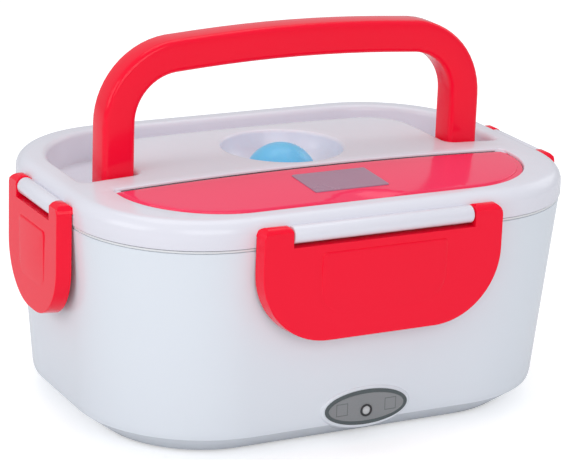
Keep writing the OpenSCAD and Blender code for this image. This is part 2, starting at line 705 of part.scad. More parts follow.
module vent_cut() {
    translate([0, vent_y, 0]) {
        rotate_extrude($fn = 80) polygon(concat([[0, bowl_z]], [for (p = bowl_wall) [p.x, p.y + bowl_z]],
            [[bowl_d / 2, vent_rim - 0.7], [bowl_d / 2 + 1.2, vent_rim + 0.3]],
            [[bowl_d / 2 + 1.2, vent_rim + 8], [0, vent_rim + 8]]));
        translate([0, 0, tub_z - 1]) cylinder(r = stem_d / 2 + stem_gap, h = bowl_z - tub_z + 2);
    }
}

module spoon_cut() {
    seat = d_shape(lift_gap, rear_gap);
    mid = [0, (cover_y0 + cover_y1) / 2];
    loft([on_crown(shrunk(seat, mid, 0.5), -seat_sink), on_crown(seat, -seat_sink),
        at_z(seat, lid_top + crown + 6)],
        low = [mid.x, mid.y, crown_z(mid.x, mid.y) - seat_sink]);
    translate([0, 0, channel_z]) linear_extrude(lid_top + crown - channel_z) polygon(d_shape(-3.2, m = 0));
    mirrored([1, 0, 0]) translate([0, hinge_y, hinge_z]) rotate([0, 90, 0]) {
        cylinder(r1 = groove_mid, r2 = groove_end, h = groove_l);
        cylinder(r = cover_pin_d / 2 + pin_gap, h = groove_l + 3);
    }
    intersection() {
        translate(scoop_c) sphere(r = scoop_r + scoop_skin + 0.35, $fn = 80);
        translate([0, 0, channel_z]) linear_extrude(20) polygon(d_shape(lift_gap, m = 0));
    }
}

// Places one clip's frame: x along the clip, y up, z outwards from the lid's side
module at_side(turn, half) {
    rotate([0, 0, turn]) translate([0, -half, 0]) rotate([90, 0, 0]) children();
}

module every_side() {
    for (turn = [0, 180]) at_side(turn, lid_w / 2) {
        $span = clip_w / 2;
        $ear = ear_w;
        children();
    }
    for (turn = [90, 270]) at_side(turn, lid_l / 2) {
        $span = side_clip_w / 2;
        $ear = side_ear_w;
        children();
    }
}

module lid_rolls() {
    every_side() {
        half = $span - $ear - 0.5;
        translate([-half, roll_z, axis_out]) rotate([0, 90, 0]) cylinder(d = roll_d, h = 2 * half);
        translate([-half, roll_z - 2.2, -lid_wall / 2]) cube([2 * half, 4.4, axis_out + lid_wall / 2]);
    }
}

module ear_grooves() {
    every_side() for (side = [-1, 1])
        translate([side * ($span - $ear / 2), roll_z, axis_out]) rotate([0, 90, 0])
        cylinder(r = ear_r + 0.35, h = $ear + 1, center = true);
}

module stub_bores() {
    every_side() for (side = [-1, 1])
        translate([side * ($span - $ear), roll_z, axis_out]) rotate([0, 90, 0])
        cylinder(r = stub_d / 2 + pin_gap, h = 2 * stub_l + 1, center = true);
}

// Inner plate of the lid, welded under the tubs
module lid_liner() {
    edge = rim_in + seal_t;
    color("white") difference() {
        translate([0, 0, liner_z]) linear_extrude(liner_t)
            polygon(rounded(lid_l / 2 - edge, lid_w / 2 - edge, lid_r - edge));
        translate([0, vent_y, liner_z - 1]) cylinder(r = stem_d / 2 + stem_gap, h = liner_t + 2);
    }
}

// Silicone ring under and round the inner plate's edge
module lid_seal() {
    lip = well_in + tray_side + tray_wall - 0.6;
    color("lightblue") loft([lid_ring(lip, seal_low), lid_ring(rim_in + 0.3, seal_low),
        lid_ring(rim_in, liner_z + 0.5),
        lid_ring(rim_in + 0.3, tub_z), lid_ring(rim_in + seal_t, tub_z), lid_ring(rim_in + seal_t, liner_z),
        lid_ring(lip, liner_z)], loop = true);
}

// Cover of the spoon compartment: crowned panel inside a lower border, with a finger scoop
label_y = cover_y1 - 21.4;
label_tilt = atan((crown_z(0, label_y + label_w / 2) - crown_z(0, label_y - label_w / 2)) / label_w);

module label_frame() {
    translate([0, label_y, crown_z(0, label_y) - cover_sink]) rotate([label_tilt, 0, 0]) children();
}

module spoon_cover() {
    outline = d_shape(0);
    mid = [0, (cover_y0 + cover_y1) / 2];
    low = -cover_sink - cover_t;
    border = -cover_sink - 0.8;
    color("crimson") difference() {
        union() {
            loft([on_crown(shrunk(outline, mid, 0.5), low), on_crown(outline, low), on_crown(outline, border),
                on_crown(inset(outline, 2.2), border), on_crown(inset(outline, 2.4), -cover_sink - 0.3),
                on_crown(inset(outline, 3), -cover_sink), on_crown(shrunk(outline, mid, 0.6), -cover_sink),
                on_crown(shrunk(outline, mid, 0.25), -cover_sink)],
                low = [mid.x, mid.y, crown_z(mid.x, mid.y) + low],
                high = [mid.x, mid.y, crown_z(mid.x, mid.y) - cover_sink]);
            intersection() {
                translate(scoop_c) sphere(r = scoop_r + scoop_skin, $fn = 96);
                translate([0, 0, channel_z]) linear_extrude(crown_z(0, cover_y0) - cover_sink - 1.2 - channel_z)
                    polygon(d_shape(-0.1, m = 0));
            }
            mirrored([1, 0, 0]) translate([groove_l - 0.7, hinge_y, hinge_z]) {
                rotate([0, -90, 0]) translate([0, 0, -2.6]) cylinder(d = cover_pin_d, h = 5.4);
                translate([0, 0, -0.35]) rotate([90, 0, -90]) linear_extrude(2.8)
                    polygon(rounded(2.1, 1.8, 1.3, 4, 0));
            }
        }
        translate(scoop_c) sphere(r = scoop_r, $fn = 96);
        label_frame() translate([0, 0, -0.5]) linear_extrude(3)
            polygon(rounded(label_l / 2 + fixed_gap, label_w / 2 + fixed_gap, 1, 3, 0));
    }
}

module cover_label() {
    color("darkgray") label_frame() translate([0, 0, -0.5]) linear_extrude(0.9)
        polygon(rounded(label_l / 2, label_w / 2, 0.9, 3, 0));
}

// Silicone vent plug: a dome on a stem that passes through the lid
module vent_plug() {
    dome_z = vent_rim + 0.6 - dome_r;
    color("deepskyblue") translate([0, vent_y, 0]) {
        difference() {
            translate([0, 0, dome_z]) sphere(r = dome_r, $fn = 96);
            translate([0, 0, bowl_z + 0.1 - 50]) cube([100, 100, 100], center = true);
        }
        translate([0, 0, liner_z]) cylinder(d = stem_d, h = bowl_z + 2 - liner_z);
    }
}

// Carrying handle: an arch of chunky rounded section with a pivot stub on each leg
function arch_line(half, top, r, k = 8) = let (side = top - handle_arch)
    concat([[half, 0]], arc([half - r, side - r], r, 0, 84, k),
    [for (x = [0.62, 0, -0.62]) [x * (half - r), top - handle_arch * x * x]],
    arc([r - half, side - r], r, 96, 180, k), [[-half, 0]]);

handle_inner_r = handle_r - 15;

module handle() {
    outer = arch_line(handle_w / 2, handle_h, handle_r);
    inner = arch_line(handle_w / 2 - grip, handle_h - grip + 0.4, handle_inner_r);
    sections = [for (i = [0:len(outer) - 1])
        let (mid = (outer[i] + inner[i]) / 2, span = outer[i] - inner[i], across = unit(span))
        [for (q = rounded(norm(span) / 2, handle_t / 2, 2, 3, 0))
            [mid.x + across.x * q.x, q.y, mid.y + across.y * q.x]]];
    color("crimson") translate([0, 0, pivot_z]) {
        loft(sections);
        mirrored([1, 0, 0]) translate([handle_w / 2 - grip, 0, 0]) rotate([0, 90, 0]) {
            translate([0, 0, 0.5]) cylinder(r = handle_t / 2 - 0.3, h = grip - 1);
            translate([0, 0, -pivot_stub]) cylinder(d = pivot_d, h = pivot_stub + 2);
        }
    }
}

// One snap clip, drawn in its own frame: x along the clip, y up, z outwards from the lid's side
soft = 2.4;
wall_gap = 0.45;
clip_deep = 5.4;

module snap_clip(width, ears, drop, low_r) {
    half = width / 2;
    clip_z = roll_z - drop;
    top_z = roll_z + ear_r + 0.3;
    ear_round = soft + 0.4;
    ear_y = top_z - ear_round;
    outline = concat(arc([half - low_r, clip_z + low_r], low_r, -90, 0, 8),
        arc([half - ear_round, ear_y], ear_round, 0, 90, 3),
        arc([half - ears + ear_round, ear_y], ear_round, 90, 180, 3),
        [[half - ears, notch_z], [ears - half, notch_z]],
        arc([ears - half - ear_round, ear_y], ear_round, 0, 90, 3),
        arc([ear_round - half, ear_y], ear_round, 90, 180, 3),
        arc([low_r - half, clip_z + low_r], low_r, 180, 270, 8));
    difference() {
        translate([0, 0, -clip_deep]) soft_plate(outline, clip_proud + clip_deep, soft);
        clip_cavity(half, clip_z, low_r);
        rotate([90, 0, 90]) translate([0, 0, -width]) linear_extrude(2 * width) {
            translate([clip_z - 2, -9]) square([lid_z - clip_z + 2, 9 + wall_gap]);
            difference() {
                translate([lid_z - 0.1, -6]) square([roll_z + 8 - lid_z, 20]);
                translate([lid_z - 1, wall_gap]) square([roll_z - lid_z + 1, 14]);
                translate([roll_z, axis_out]) circle(r = ear_r);
            }
        }
    }
    for (side = [-1, 1]) translate([side * (half - ears - stub_l / 2 + 0.5), roll_z, axis_out])
        rotate([0, 90, 0])
        cylinder(d = stub_d, h = stub_l + 1, center = true);
}

// Hollow back of a clip, which leaves the rib that snaps over the keeper
module clip_cavity(half, clip_z, low_r) {
    inner_r = low_r - clip_wall;
    difference() {
        translate([0, 0, -clip_deep - 1]) linear_extrude(clip_proud + clip_deep + 1 - clip_wall)
            polygon(concat(arc([half - low_r, clip_z + low_r], inner_r, -90, 0, 8),
            [[half - clip_wall, notch_z - 2], [clip_wall - half, notch_z - 2]],
            arc([low_r - half, clip_z + low_r], inner_r, 180, 270, 8)));
        translate([-half * keeper_share, keeper_z - 2.6, wall_gap]) cube([2 * half * keeper_share, 2.2, 20]);
    }
}

module clip_front() {
    color("crimson") at_side(0, lid_w / 2) snap_clip(clip_w, ear_w, clip_drop, clip_low_r);
}

module clip_back() {
    color("crimson") at_side(180, lid_w / 2) snap_clip(clip_w, ear_w, clip_drop, clip_low_r);
}

module clip_left() {
    color("crimson") at_side(270, lid_l / 2)
        snap_clip(side_clip_w, side_ear_w, side_clip_drop, side_clip_low_r);
}

module clip_right() {
    color("crimson") at_side(90, lid_l / 2)
        snap_clip(side_clip_w, side_ear_w, side_clip_drop, side_clip_low_r);
}

// Cutlery in the compartment under the cover
cutlery_z = channel_z + 0.1;
spoon_y = cover_y0 + 16;
fork_y = cover_y1 - 12.5;
steel_t = 1.4;
grip_end = cover_l / 2 - 25;
neck = 34;
bowl_l = 39;
bowl_w = 22;
bowl_x = grip_end - bowl_l / 2 + 3.5;
fork_w = 16.8;

module cutlery_handle() {
    translate([0, 0, 1.2]) linear_extrude(steel_t) polygon(concat(
        arc([-grip_end, 0], 4.5, 90, 270, 8), [[neck - 14, -2.6], [neck, -3], [neck, 3], [neck - 14, 2.6]]));
}

module spoon() {
    ball = 60;
    color("silver") translate([0, spoon_y, cutlery_z]) {
        cutlery_handle();
        intersection() {
            difference() {
                translate([bowl_x, 0, ball]) sphere(r = ball, $fn = 96);
                translate([bowl_x, 0, ball]) sphere(r = ball - 1.2, $fn = 96);
            }
            translate([bowl_x, 0, -1]) linear_extrude(6) polygon(oval(bowl_l / 2, bowl_w / 2, 32));
        }
    }
}

module fork() {
    half = fork_w / 2;
    color("silver") translate([0, fork_y, cutlery_z]) rotate([0, 0, 180]) {
        cutlery_handle();
        translate([0, 0, 1.2]) linear_extrude(steel_t) difference() {
            polygon([[neck - 1, -3], [neck + 6, -half], [grip_end, 0.6 - half], [grip_end, half - 0.6],
                [neck + 6, half], [neck - 1, 3]]);
            for (y = [-1, 0, 1]) translate([neck + 12, y * fork_w / 4 - 0.9]) square([grip_end, 1.8]);
        }
    }
}

outer_shell();
base_cover();
base_screws();
rubber_feet();
heating_well();
heat_plate();
ptc_heater();
heater_clamp();
thermostat();
thermal_fuse();
insulation_pad();
power_inlet();
inlet_pins();
lamp_plate();
lamp_lens();
lamp_diode();
food_tray();
side_dish_box();
side_dish_lid();
lid_shell();
lid_liner();
lid_seal();
spoon_cover();
cover_label();
vent_plug();
handle();
clip_front();
clip_back();
clip_left();
clip_right();
spoon();
fork();
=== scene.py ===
import json
import math

import bmesh
import bpy
from mathutils import Matrix, Vector
from mathutils.geometry import delaunay_2d_cdt


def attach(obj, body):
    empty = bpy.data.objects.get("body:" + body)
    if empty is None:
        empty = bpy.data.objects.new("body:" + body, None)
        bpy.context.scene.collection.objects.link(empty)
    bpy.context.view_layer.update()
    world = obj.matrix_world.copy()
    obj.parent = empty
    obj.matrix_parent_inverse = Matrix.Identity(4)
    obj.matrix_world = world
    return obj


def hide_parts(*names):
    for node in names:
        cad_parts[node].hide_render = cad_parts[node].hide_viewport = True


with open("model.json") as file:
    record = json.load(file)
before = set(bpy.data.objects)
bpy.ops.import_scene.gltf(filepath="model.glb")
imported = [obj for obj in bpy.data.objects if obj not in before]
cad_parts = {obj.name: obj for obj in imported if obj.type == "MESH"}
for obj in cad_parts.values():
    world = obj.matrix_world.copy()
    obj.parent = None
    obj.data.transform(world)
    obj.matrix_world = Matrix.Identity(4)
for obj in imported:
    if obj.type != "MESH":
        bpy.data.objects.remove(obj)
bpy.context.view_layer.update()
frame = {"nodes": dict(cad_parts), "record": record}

MM = 0.001


# Body wall: one tapering moulding of glossy white plastic, turned in under a crisp lower crease.
# The boss that carries the oval plate is moulded on it. It stands round the heated well.
WALL_START = 14
RIM_Z = 90.1
# How far inwards, and how far down, each step of the wall's turned-in foot goes.
WALL_FOOT = [(0.1, 1.4), (0.25, 1.4), (0.4, 1.3), (12.1, 8.9)]
FOOT_LEDGE = 5
# Length and width above the crease and at the rim, and the radius of the corners at both.
BODY_FOOT, FOOT_CORNER = (208.6, 148.5), 54.0
BODY_RIM, RIM_CORNER = (219.2, 157.2), 53.0
WALL_THICK, WALL_EDGE = 2.4, 0.25
BOSS_Y, BOSS_HALF_X, BOSS_HALF_Z, BOSS_EDGE = -75.37, 20.1, 8.7, 0.6
# Two steps of the boss back into the wall: how far in and up, and how much longer and higher.
BOSS_STEPS = [(1.0, -0.05, 1.04, 1.06), (6.5, -0.5, 1.14, 1.22)]
PLATE_Z = 16.5
INLET_HALF_X, INLET_HALF_Z, INLET_CORNER, INLET_Z = 11.15, 6.65, 4.0, 18.0
REAR_OUTSIDE, REAR_INSIDE = -82, -62
FRONT_SIDE, FRONT_WALL, FRONT_KEEPER = 79, 78.1, 59.4
END_SIDE, END_WALL, END_KEEPER = 110, 109, 29.2
UPRIGHT = (math.radians(90), 0, 0)


def start_piece():
    """Nothing selected and object mode, so that the next operator acts on the new piece alone."""
    if bpy.context.object and bpy.context.object.mode != "OBJECT":
        bpy.ops.object.mode_set(mode="OBJECT")
    bpy.ops.object.select_all(action="DESELECT")


def in_edit(kind):
    bpy.ops.object.mode_set(mode="EDIT")
    bpy.ops.mesh.select_mode(type=kind)
    bpy.ops.mesh.select_all(action="DESELECT")


def pick_faces(test):
    """In edit mode: selects the faces whose centre, in mm, and normal pass the test."""
    mesh = bmesh.from_edit_mesh(bpy.context.object.data)
    for face in mesh.faces:
        face.select_set(bool(test(face.calc_center_median() / MM, face.normal)))
    bmesh.update_edit_mesh(bpy.context.object.data)


def pick_edges(test):
    """In edit mode: selects the edges whose two ends, in mm, pass the test."""
    mesh = bmesh.from_edit_mesh(bpy.context.object.data)
    for edge in mesh.edges:
        edge.select_set(bool(test(edge.verts[0].co / MM, edge.verts[1].co / MM)))
    bmesh.update_edit_mesh(bpy.context.object.data)


def modified(piece, kind, **values):
    """Adds a modifier with these values and applies it."""
    modifier = piece.modifiers.new(kind.lower(), kind)
    for name, value in values.items():
        setattr(modifier, name, value)
    bpy.context.view_layer.objects.active = piece
    bpy.ops.object.modifier_apply(modifier=modifier.name)


def settled(piece, name, angle=30):
    """Names the finished piece, puts its place into its mesh and shades it smooth up to an angle."""
    start_piece()
    piece.select_set(True)
    bpy.context.view_layer.objects.active = piece
    bpy.ops.object.transform_apply(location=True, rotation=True, scale=True)
    bpy.ops.object.shade_smooth_by_angle(angle=math.radians(angle))
    piece.name = name
    piece.data.name = name
    return piece


def joined(pieces):
    """Joins loose parts of one moulding into the first of them."""
    start_piece()
    for piece in pieces:
        piece.select_set(True)
    bpy.context.view_layer.objects.active = pieces[0]
    bpy.ops.object.join()
    return pieces[0]


def arc(x, y, radius, start, end, steps):
    turn = [math.radians(start + (end - start) * i / steps) for i in range(steps + 1)]
    return [(x + radius * math.cos(a), y + radius * math.sin(a)) for a in turn]


def outline(arcs, betweens):
    """A closed outline from arcs, with some points on the straight line after each."""
    points = []
    for i, (part, count) in enumerate(zip(arcs, betweens)):
        a, b = part[-1], arcs[(i + 1) % len(arcs)][0]
        points += part + [(a[0] + (b[0] - a[0]) * k / (count + 1), a[1] + (b[1] - a[1]) * k / (count + 1))
                          for k in range(1, count + 1)]
    return points


def rounded(half_x, half_y, radius, steps, betweens=(0, 0, 0, 0), up=0.0):
    """A rectangle with rounded corners about the middle, or about a point higher up."""
    x, y = half_x - radius, half_y - radius
    return outline([arc(x, up + y, radius, 0, 90, steps), arc(-x, up + y, radius, 90, 180, steps),
                    arc(-x, up - y, radius, 180, 270, steps), arc(x, up - y, radius, 270, 360, steps)],
                   betweens)


def bridged(mesh, rings):
    for low, high in zip(rings, rings[1:]):
        for i in range(len(low)):
            j = (i + 1) % len(low)
            mesh.faces.new((low[i], low[j], high[j], high[i]))


def finished(mesh, name, angle):
    """Turns all faces outwards and makes the object."""
    bmesh.ops.recalc_face_normals(mesh, faces=mesh.faces)
    data = bpy.data.meshes.new(name)
    mesh.to_mesh(data)
    mesh.free()
    piece = bpy.data.objects.new(name, data)
    bpy.context.scene.collection.objects.link(piece)
    return settled(piece, name, angle)


def cut(piece, cutter):
    """Cuts a piece with another and throws the cutter away."""
    modified(piece, "BOOLEAN", object=cutter, operation="DIFFERENCE", solver="EXACT")
    bpy.data.objects.remove(cutter, do_unlink=True)


def prism(points, low, high, along):
    """A straight piece: an outline of x and height drawn "out", or of out and height drawn along "x"."""
    mesh = bmesh.new()
    place = (lambda p, d: (p[0], -d, p[1])) if along == "out" else (lambda p, d: (d, -p[0], p[1]))
    ends = [[mesh.verts.new(Vector(place(p, d)) * MM) for p in points] for d in (low, high)]
    bridged(mesh, ends)
    mesh.faces.new(ends[0])
    mesh.faces.new(ends[1])
    return finished(mesh, "prism", 30)


start_piece()
bpy.ops.mesh.primitive_cube_add(size=1, location=(0, 0, (WALL_START + RIM_Z) / 2 * MM),
                                scale=(BODY_FOOT[0] * MM, BODY_FOOT[1] * MM, (RIM_Z - WALL_START) * MM))
wall = bpy.context.object
bpy.ops.object.transform_apply(location=True, scale=True)
in_edit("EDGE")
pick_edges(lambda a, b: abs(a.z - b.z) > 1)
bpy.ops.mesh.bevel(offset=FOOT_CORNER * MM, segments=28, affect="EDGES")
bpy.ops.object.mode_set(mode="OBJECT")
for corner in wall.data.vertices:
    if corner.co.z > (RIM_Z - 1) * MM:
        for axis in (0, 1):
            way = math.copysign(1, corner.co[axis])
            turn = (corner.co[axis] / MM - way * (BODY_FOOT[axis] / 2 - FOOT_CORNER)) / FOOT_CORNER
            corner.co[axis] = (way * (BODY_RIM[axis] / 2 - RIM_CORNER) + turn * RIM_CORNER) * MM
in_edit("FACE")
pick_faces(lambda c, n: n.z < -0.9)
for turned_in, fall in WALL_FOOT:
    bpy.ops.mesh.inset(thickness=turned_in * MM, depth=fall * MM, use_even_offset=True)
bpy.ops.mesh.inset(thickness=FOOT_LEDGE * MM, depth=0)
bpy.ops.mesh.delete(type="FACE")
pick_faces(lambda c, n: n.z > 0.9)
bpy.ops.mesh.delete(type="FACE")
bpy.ops.object.mode_set(mode="OBJECT")
modified(wall, "SOLIDIFY", thickness=WALL_THICK * MM, offset=-1, use_even_offset=True, use_rim=True)
modified(wall, "BEVEL", width=WALL_EDGE * MM, segments=2, limit_method="ANGLE", angle_limit=math.radians(50))

start_piece()
bpy.ops.mesh.primitive_circle_add(vertices=72, radius=BOSS_HALF_X * MM, fill_type="NGON", rotation=UPRIGHT,
                                  location=(0, BOSS_Y * MM, PLATE_Z * MM))
boss = bpy.context.object
boss.scale = (1, BOSS_HALF_Z / BOSS_HALF_X, 1)
bpy.ops.object.transform_apply(location=True, rotation=True, scale=True)
in_edit("FACE")
pick_faces(lambda c, n: True)
for back, up, longer, higher in BOSS_STEPS:
    bpy.ops.mesh.extrude_region_move(TRANSFORM_OT_translate={"value": (0, back * MM, up * MM)})
    bpy.ops.transform.resize(value=(longer, 1, higher), center_override=(0, 0, PLATE_Z * MM))
bpy.ops.mesh.select_all(action="SELECT")
bpy.ops.mesh.normals_make_consistent(inside=False)
bpy.ops.object.mode_set(mode="OBJECT")
modified(boss, "BEVEL", width=BOSS_EDGE * MM, segments=3, limit_method="ANGLE", angle_limit=math.radians(50))

LEDGE_UNDER, LEDGE_EDGE, LEDGE_TOP = 82, 83.2, 86.4
LEDGE_PAST, LEDGE_ROOT = 0.1, 1.2


def keeper(length, lid_side, wall_side, turn):
    """A ledge that a clip snaps over: its tip reaches just past the lid's side."""
    tip, root = lid_side + LEDGE_PAST, wall_side - LEDGE_ROOT
    points = [(tip, LEDGE_UNDER), (tip, LEDGE_EDGE), (root, LEDGE_TOP), (root, LEDGE_UNDER)]
    piece = prism(points, -length / 2, length / 2, "x")
    piece.rotation_euler = (0, 0, math.radians(turn))
    bpy.ops.object.transform_apply(rotation=True)
    return piece


keepers = [keeper(FRONT_KEEPER, FRONT_SIDE, FRONT_WALL, turn) for turn in (0, 180)]
keepers += [keeper(END_KEEPER, END_SIDE, END_WALL, turn) for turn in (90, 270)]
body_wall = joined([wall, boss, *keepers])
opening = rounded(INLET_HALF_X, INLET_HALF_Z, INLET_CORNER, 6, up=INLET_Z)
cut(body_wall, prism(opening, REAR_OUTSIDE, REAR_INSIDE, "out"))
settled(body_wall, "body_wall", 28)


def math_in(tree):
    """A function that adds a Math node to this tree: numbers are set, and outputs are linked."""
    def sums(operation, a, b=0.0):
        node = tree.nodes.new("ShaderNodeMath")
        node.operation = operation
        for socket, value in zip(node.inputs, (a, b)):
            if isinstance(value, (int, float)):
                socket.default_value = value
            else:
                tree.links.new(value, socket)
        return node.outputs[0]

    return sums


def moulded_surface():
    """Node group: slow colour drift, faint flow waviness, fine grain and rubbed patches of a moulding."""
    group = bpy.data.node_groups.new("moulded surface", "ShaderNodeTree")
    sockets = group.interface
    for way, names in (("INPUT", ("Colour", "Drift colour", "Drift", "Roughness", "Rubbed", "Grain")),
                       ("OUTPUT", ("Colour", "Roughness", "Height"))):
        for name in names:
            kind = "NodeSocketColor" if name.lower().endswith("colour") else "NodeSocketFloat"
            sockets.new_socket(name, in_out=way, socket_type=kind)
    nodes, link = group.nodes, group.links.new
    given, made = nodes.new("NodeGroupInput"), nodes.new("NodeGroupOutput")
    place = nodes.new("ShaderNodeTexCoord").outputs["Object"]

    def noise(scale, detail):
        node = nodes.new("ShaderNodeTexNoise")
        node.inputs["Scale"].default_value = scale
        node.inputs["Detail"].default_value = detail
        link(place, node.inputs["Vector"])
        return node.outputs["Fac"]

    sums = math_in(group)
    slow, patches, grain, flow = noise(18, 2), noise(70, 5), noise(2600, 2), noise(45, 1)
    drift = nodes.new("ShaderNodeMix")
    drift.data_type = "RGBA"
    link(sums("MULTIPLY", slow, given.outputs["Drift"]), drift.inputs["Factor"])
    link(given.outputs["Colour"], drift.inputs["A"])
    link(given.outputs["Drift colour"], drift.inputs["B"])
    link(drift.outputs["Result"], made.inputs["Colour"])
    rubbed = sums("MULTIPLY", sums("SUBTRACT", patches, 0.5), given.outputs["Rubbed"])
    link(sums("ADD", given.outputs["Roughness"], rubbed), made.inputs["Roughness"])
    fine = sums("MULTIPLY", grain, given.outputs["Grain"])
    link(sums("ADD", fine, sums("MULTIPLY", flow, 0.6)), made.inputs["Height"])
    return group


surface_group = moulded_surface()


def plastic(name, colour, drift_colour, drift=0.5, rough=0.2, rubbed=0.12, grain=0.15, relief=0.04,
            metal=0.0, **values):
    """A material of one plain substance: the surface group into a Principled shader."""
    material = bpy.data.materials.new(name)
    material.use_nodes = True
    nodes, link = material.node_tree.nodes, material.node_tree.links.new
    shader = nodes["Principled BSDF"]
    surface = nodes.new("ShaderNodeGroup")
    surface.node_tree = surface_group
    for socket, value in (("Colour", (*colour, 1)), ("Drift colour", (*drift_colour, 1)), ("Drift", drift),
                          ("Roughness", rough), ("Rubbed", rubbed), ("Grain", grain)):
        surface.inputs[socket].default_value = value
    bump = nodes.new("ShaderNodeBump")
    bump.inputs["Strength"].default_value = relief
    bump.inputs["Distance"].default_value = 0.001
    link(surface.outputs["Colour"], shader.inputs["Base Color"])
    link(surface.outputs["Roughness"], shader.inputs["Roughness"])
    link(surface.outputs["Height"], bump.inputs["Height"])
    link(bump.outputs["Normal"], shader.inputs["Normal"])
    shader.inputs["Metallic"].default_value = metal
    for socket, value in values.items():
        shader.inputs[socket.replace("_", " ")].default_value = value
    return material


def fitted(piece, body, slot, material, *nodes):
    """Gives a piece its material, its body and the solids that it stands for. The slot is not used."""
    piece.data.materials.clear()
    piece.data.materials.append(material)
    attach(piece, body)
    if nodes:
        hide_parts(*nodes)


white_plastic = plastic("glossy white plastic", (0.77, 0.81, 0.865), (0.74, 0.775, 0.85),
                        rough=0.24, rubbed=0.10)
fitted(body_wall, "base", "body_white", white_plastic, "outer_shell")


# Closing plate, screws and feet under the body, and the heated well with its heater stack.
# These are the solids themselves, with their split corners merged and shaded as mouldings and metal.
def dressed(node, slot, material, angle=32):
    """A merged and smoothly shaded copy of a solid, on the solid's own body."""
    start_piece()
    piece = bpy.data.objects.new(node + "_part", frame["nodes"][node].data.copy())
    bpy.context.scene.collection.objects.link(piece)
    piece.select_set(True)
    bpy.context.view_layer.objects.active = piece
    in_edit("VERT")
    bpy.ops.mesh.select_all(action="SELECT")
    bpy.ops.mesh.remove_doubles(threshold=0.002 * MM)
    bpy.ops.mesh.dissolve_limited(angle_limit=math.radians(0.5))
    bpy.ops.object.mode_set(mode="OBJECT")
    modified(piece, "BEVEL", width=0.2 * MM, segments=1, limit_method="ANGLE", angle_limit=math.radians(50),
             use_clamp_overlap=True)
    settled(piece, node + "_part", angle)
    body = next(name for name, members in frame["record"]["behaviour"]["bodies"].items() if node in members)
    fitted(piece, body, slot, material, node)


base_plastic = plastic("matt grey base plastic", (0.62, 0.64, 0.66), (0.58, 0.60, 0.63),
                       rough=0.5, grain=1.0, relief=0.25)
steel = plastic("polished steel", (0.62, 0.62, 0.63), (0.55, 0.56, 0.58),
                rough=0.22, rubbed=0.18, metal=1.0)
foot_rubber = plastic("matt black rubber", (0.03, 0.03, 0.032), (0.05, 0.05, 0.05),
                      rough=0.7, grain=1.0, relief=0.3)
inner_plastic = plastic("satin white inner plastic", (0.78, 0.79, 0.80), (0.74, 0.75, 0.77),
                        rough=0.36, relief=0.08)
aluminium = plastic("rolled aluminium", (0.78, 0.79, 0.81), (0.70, 0.71, 0.73),
                    rough=0.34, rubbed=0.2, metal=1.0)
black_plastic = plastic("matt black plastic", (0.025, 0.025, 0.028), (0.04, 0.04, 0.042),
                        rough=0.45, grain=0.8, relief=0.2)
fuse_tan = plastic("tan fuse body", (0.50, 0.33, 0.17), (0.42, 0.27, 0.14), rough=0.5, relief=0.1)
pad_fibre = plastic("felted fibre pad", (0.72, 0.68, 0.55), (0.60, 0.56, 0.44),
                    drift=1.0, rough=0.9, grain=3.0, relief=0.9)
brass = plastic("plain brass", (0.80, 0.58, 0.24), (0.70, 0.50, 0.20), rough=0.26, rubbed=0.2, metal=1.0)

for node, slot, material in (
        ("base_cover", "base_grey", base_plastic), ("base_screws", "steel", steel),
        ("rubber_feet", "foot_rubber", foot_rubber),
        ("heating_well", "inner_white", inner_plastic), ("heat_plate", "aluminium", aluminium),
        ("ptc_heater", "aluminium", aluminium), ("heater_clamp", "steel", steel),
        ("thermostat", "black_plastic", black_plastic),
        ("thermal_fuse", "fuse_tan", fuse_tan), ("insulation_pad", "pad_fibre", pad_fibre),
        ("power_inlet", "black_plastic", black_plastic), ("inlet_pins", "brass", brass)):
    dressed(node, slot, material)


# Oval lamp plate: a grey moulding pressed into the boss, with a darker raised rim, two plain
# outlined squares printed beside the lamp, and a clear lens in a black ring.
PLATE_HALF_X, PLATE_HALF_Z, PLATE_IN, PLATE_THICK = 19, 7.5, 0.3, 0.75
# The plate's soft edge, its raised rim and the sunk face: how far inwards and outwards each goes.
PLATE_STEPS = [(0.35, 0.15), (1.05, 0), (0.35, -0.25)]
FACE_HALF_X, FACE_HALF_Z = 17.35, 5.9
SQUARE_X, SQUARE_HALF, SQUARE_LINE = 11.2, 2.5, 0.16
LENS_Z, LENS_R, LENS_BULGE = PLATE_Z - 1.5, 2.1, 0.32
LENS_RING_R, LENS_RING_THICK = 2.25, 0.42
start_piece()
bpy.ops.mesh.primitive_circle_add(vertices=96, radius=PLATE_HALF_X * MM, fill_type="NGON", rotation=UPRIGHT,
                                  location=(0, (BOSS_Y + PLATE_IN) * MM, PLATE_Z * MM))
plate = bpy.context.object
plate.scale = (1, PLATE_HALF_Z / PLATE_HALF_X, 1)
bpy.ops.object.transform_apply(location=True, rotation=True, scale=True)
in_edit("FACE")
pick_faces(lambda c, n: True)
bpy.ops.mesh.extrude_region_move(TRANSFORM_OT_translate={"value": (0, -PLATE_THICK * MM, 0)})
for inwards, outwards in PLATE_STEPS:
    bpy.ops.mesh.inset(thickness=inwards * MM, depth=outwards * MM)
bpy.ops.mesh.select_all(action="SELECT")
bpy.ops.mesh.normals_make_consistent(inside=False)
bpy.ops.object.mode_set(mode="OBJECT")
settled(plate, "lamp_plate_part", 25)


